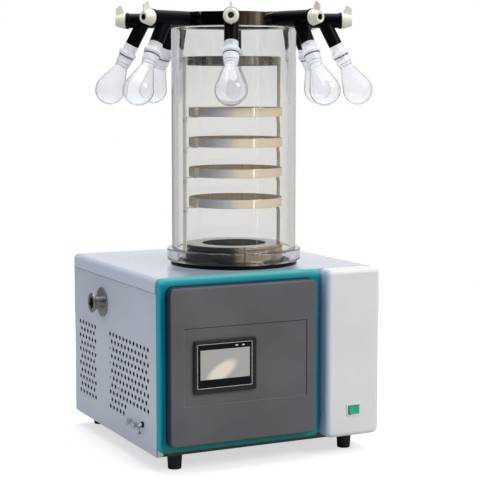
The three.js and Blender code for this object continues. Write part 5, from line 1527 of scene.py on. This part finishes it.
def world_light():
    world = bpy.data.worlds.new("studio")
    bpy.context.scene.world = world
    world.use_nodes = True
    tree = world.node_tree
    direction = coordinates(tree, "Generated")
    angle = combined(
        tree, "ARCTAN2", along(tree, direction, TOWARDS_RIGHT), along(tree, direction, TOWARDS_CAMERA))
    bearing = mapped(tree, angle, -math.pi, math.pi, interpolation="LINEAR")
    height = along(tree, direction, (0, 0, 1))
    high, level, low = [
        ramp(tree, bearing, [((degrees + 180) / 360, code) for degrees, code in marks])
        for marks in (ROOM_HIGH, ROOM_LEVEL, ROOM_LOW)
    ]
    walls = blended(tree, mapped(tree, height, -0.012, 0.012), level, high)
    walls = blended(tree, mapped(tree, height, -0.118, -0.104, 1.0, 0.0), walls, low)
    room = blended(tree, mapped(tree, height, 0.35, 0.8), walls, CEILING)
    path = tree.nodes.new("ShaderNodeLightPath").outputs
    entered = combined(tree, "COMPARE", path["Transmission Depth"], 1.5, 0.6)
    mirrored = combined(tree, "MINIMUM", path["Glossy Depth"], 1)
    lit = blended(tree, mirrored, AMBIENT, blended(tree, entered, room, WALL_GLOW))
    shown = blended(tree, seen_directly(tree), lit, ROOM_WHITE)
    tree.links.new(shown, tree.nodes["Background"].inputs["Color"])


world_light()
print("marks in the room:", len(ROOM_HIGH), len(ROOM_LEVEL), len(ROOM_LOW))

# %% Lamps
TARGET = (0, 0, 0.4)
KEY_POWER = 92
TOP_POWER = 72
FILL_POWER = 13
STRIP_POWER = 1.6


def lamp(name, place, aim, size, power, colour=(1, 1, 1), mirrored=True):
    light = bpy.data.lights.new(name, "AREA")
    light.shape = "RECTANGLE"
    light.size, light.size_y = size
    light.energy = power
    light.color = colour
    holder = added(name, light)
    holder.location = place
    holder.rotation_euler = (Vector(aim) - Vector(place)).to_track_quat("-Z", "Y").to_euler()
    holder.visible_glossy = mirrored
    holder.visible_transmission = mirrored


lamp("key", (2.2, -3.2, 3.0), TARGET, (2.0, 2.0), KEY_POWER, (1, 0.98, 0.95))
lamp("top", (0.2, 0.3, 3.2), TARGET, (2.6, 2.6), TOP_POWER)
lamp("strip", (1.2, -3.6, 1.2), (0, 0, 0.9), (0.06, 2.6), STRIP_POWER)
lamp("fill", (-3.4, -0.8, 1.4), TARGET, (2.0, 2.4), FILL_POWER, (0.92, 0.96, 1), mirrored=False)
bpy.context.scene.view_settings.view_transform = "Standard"
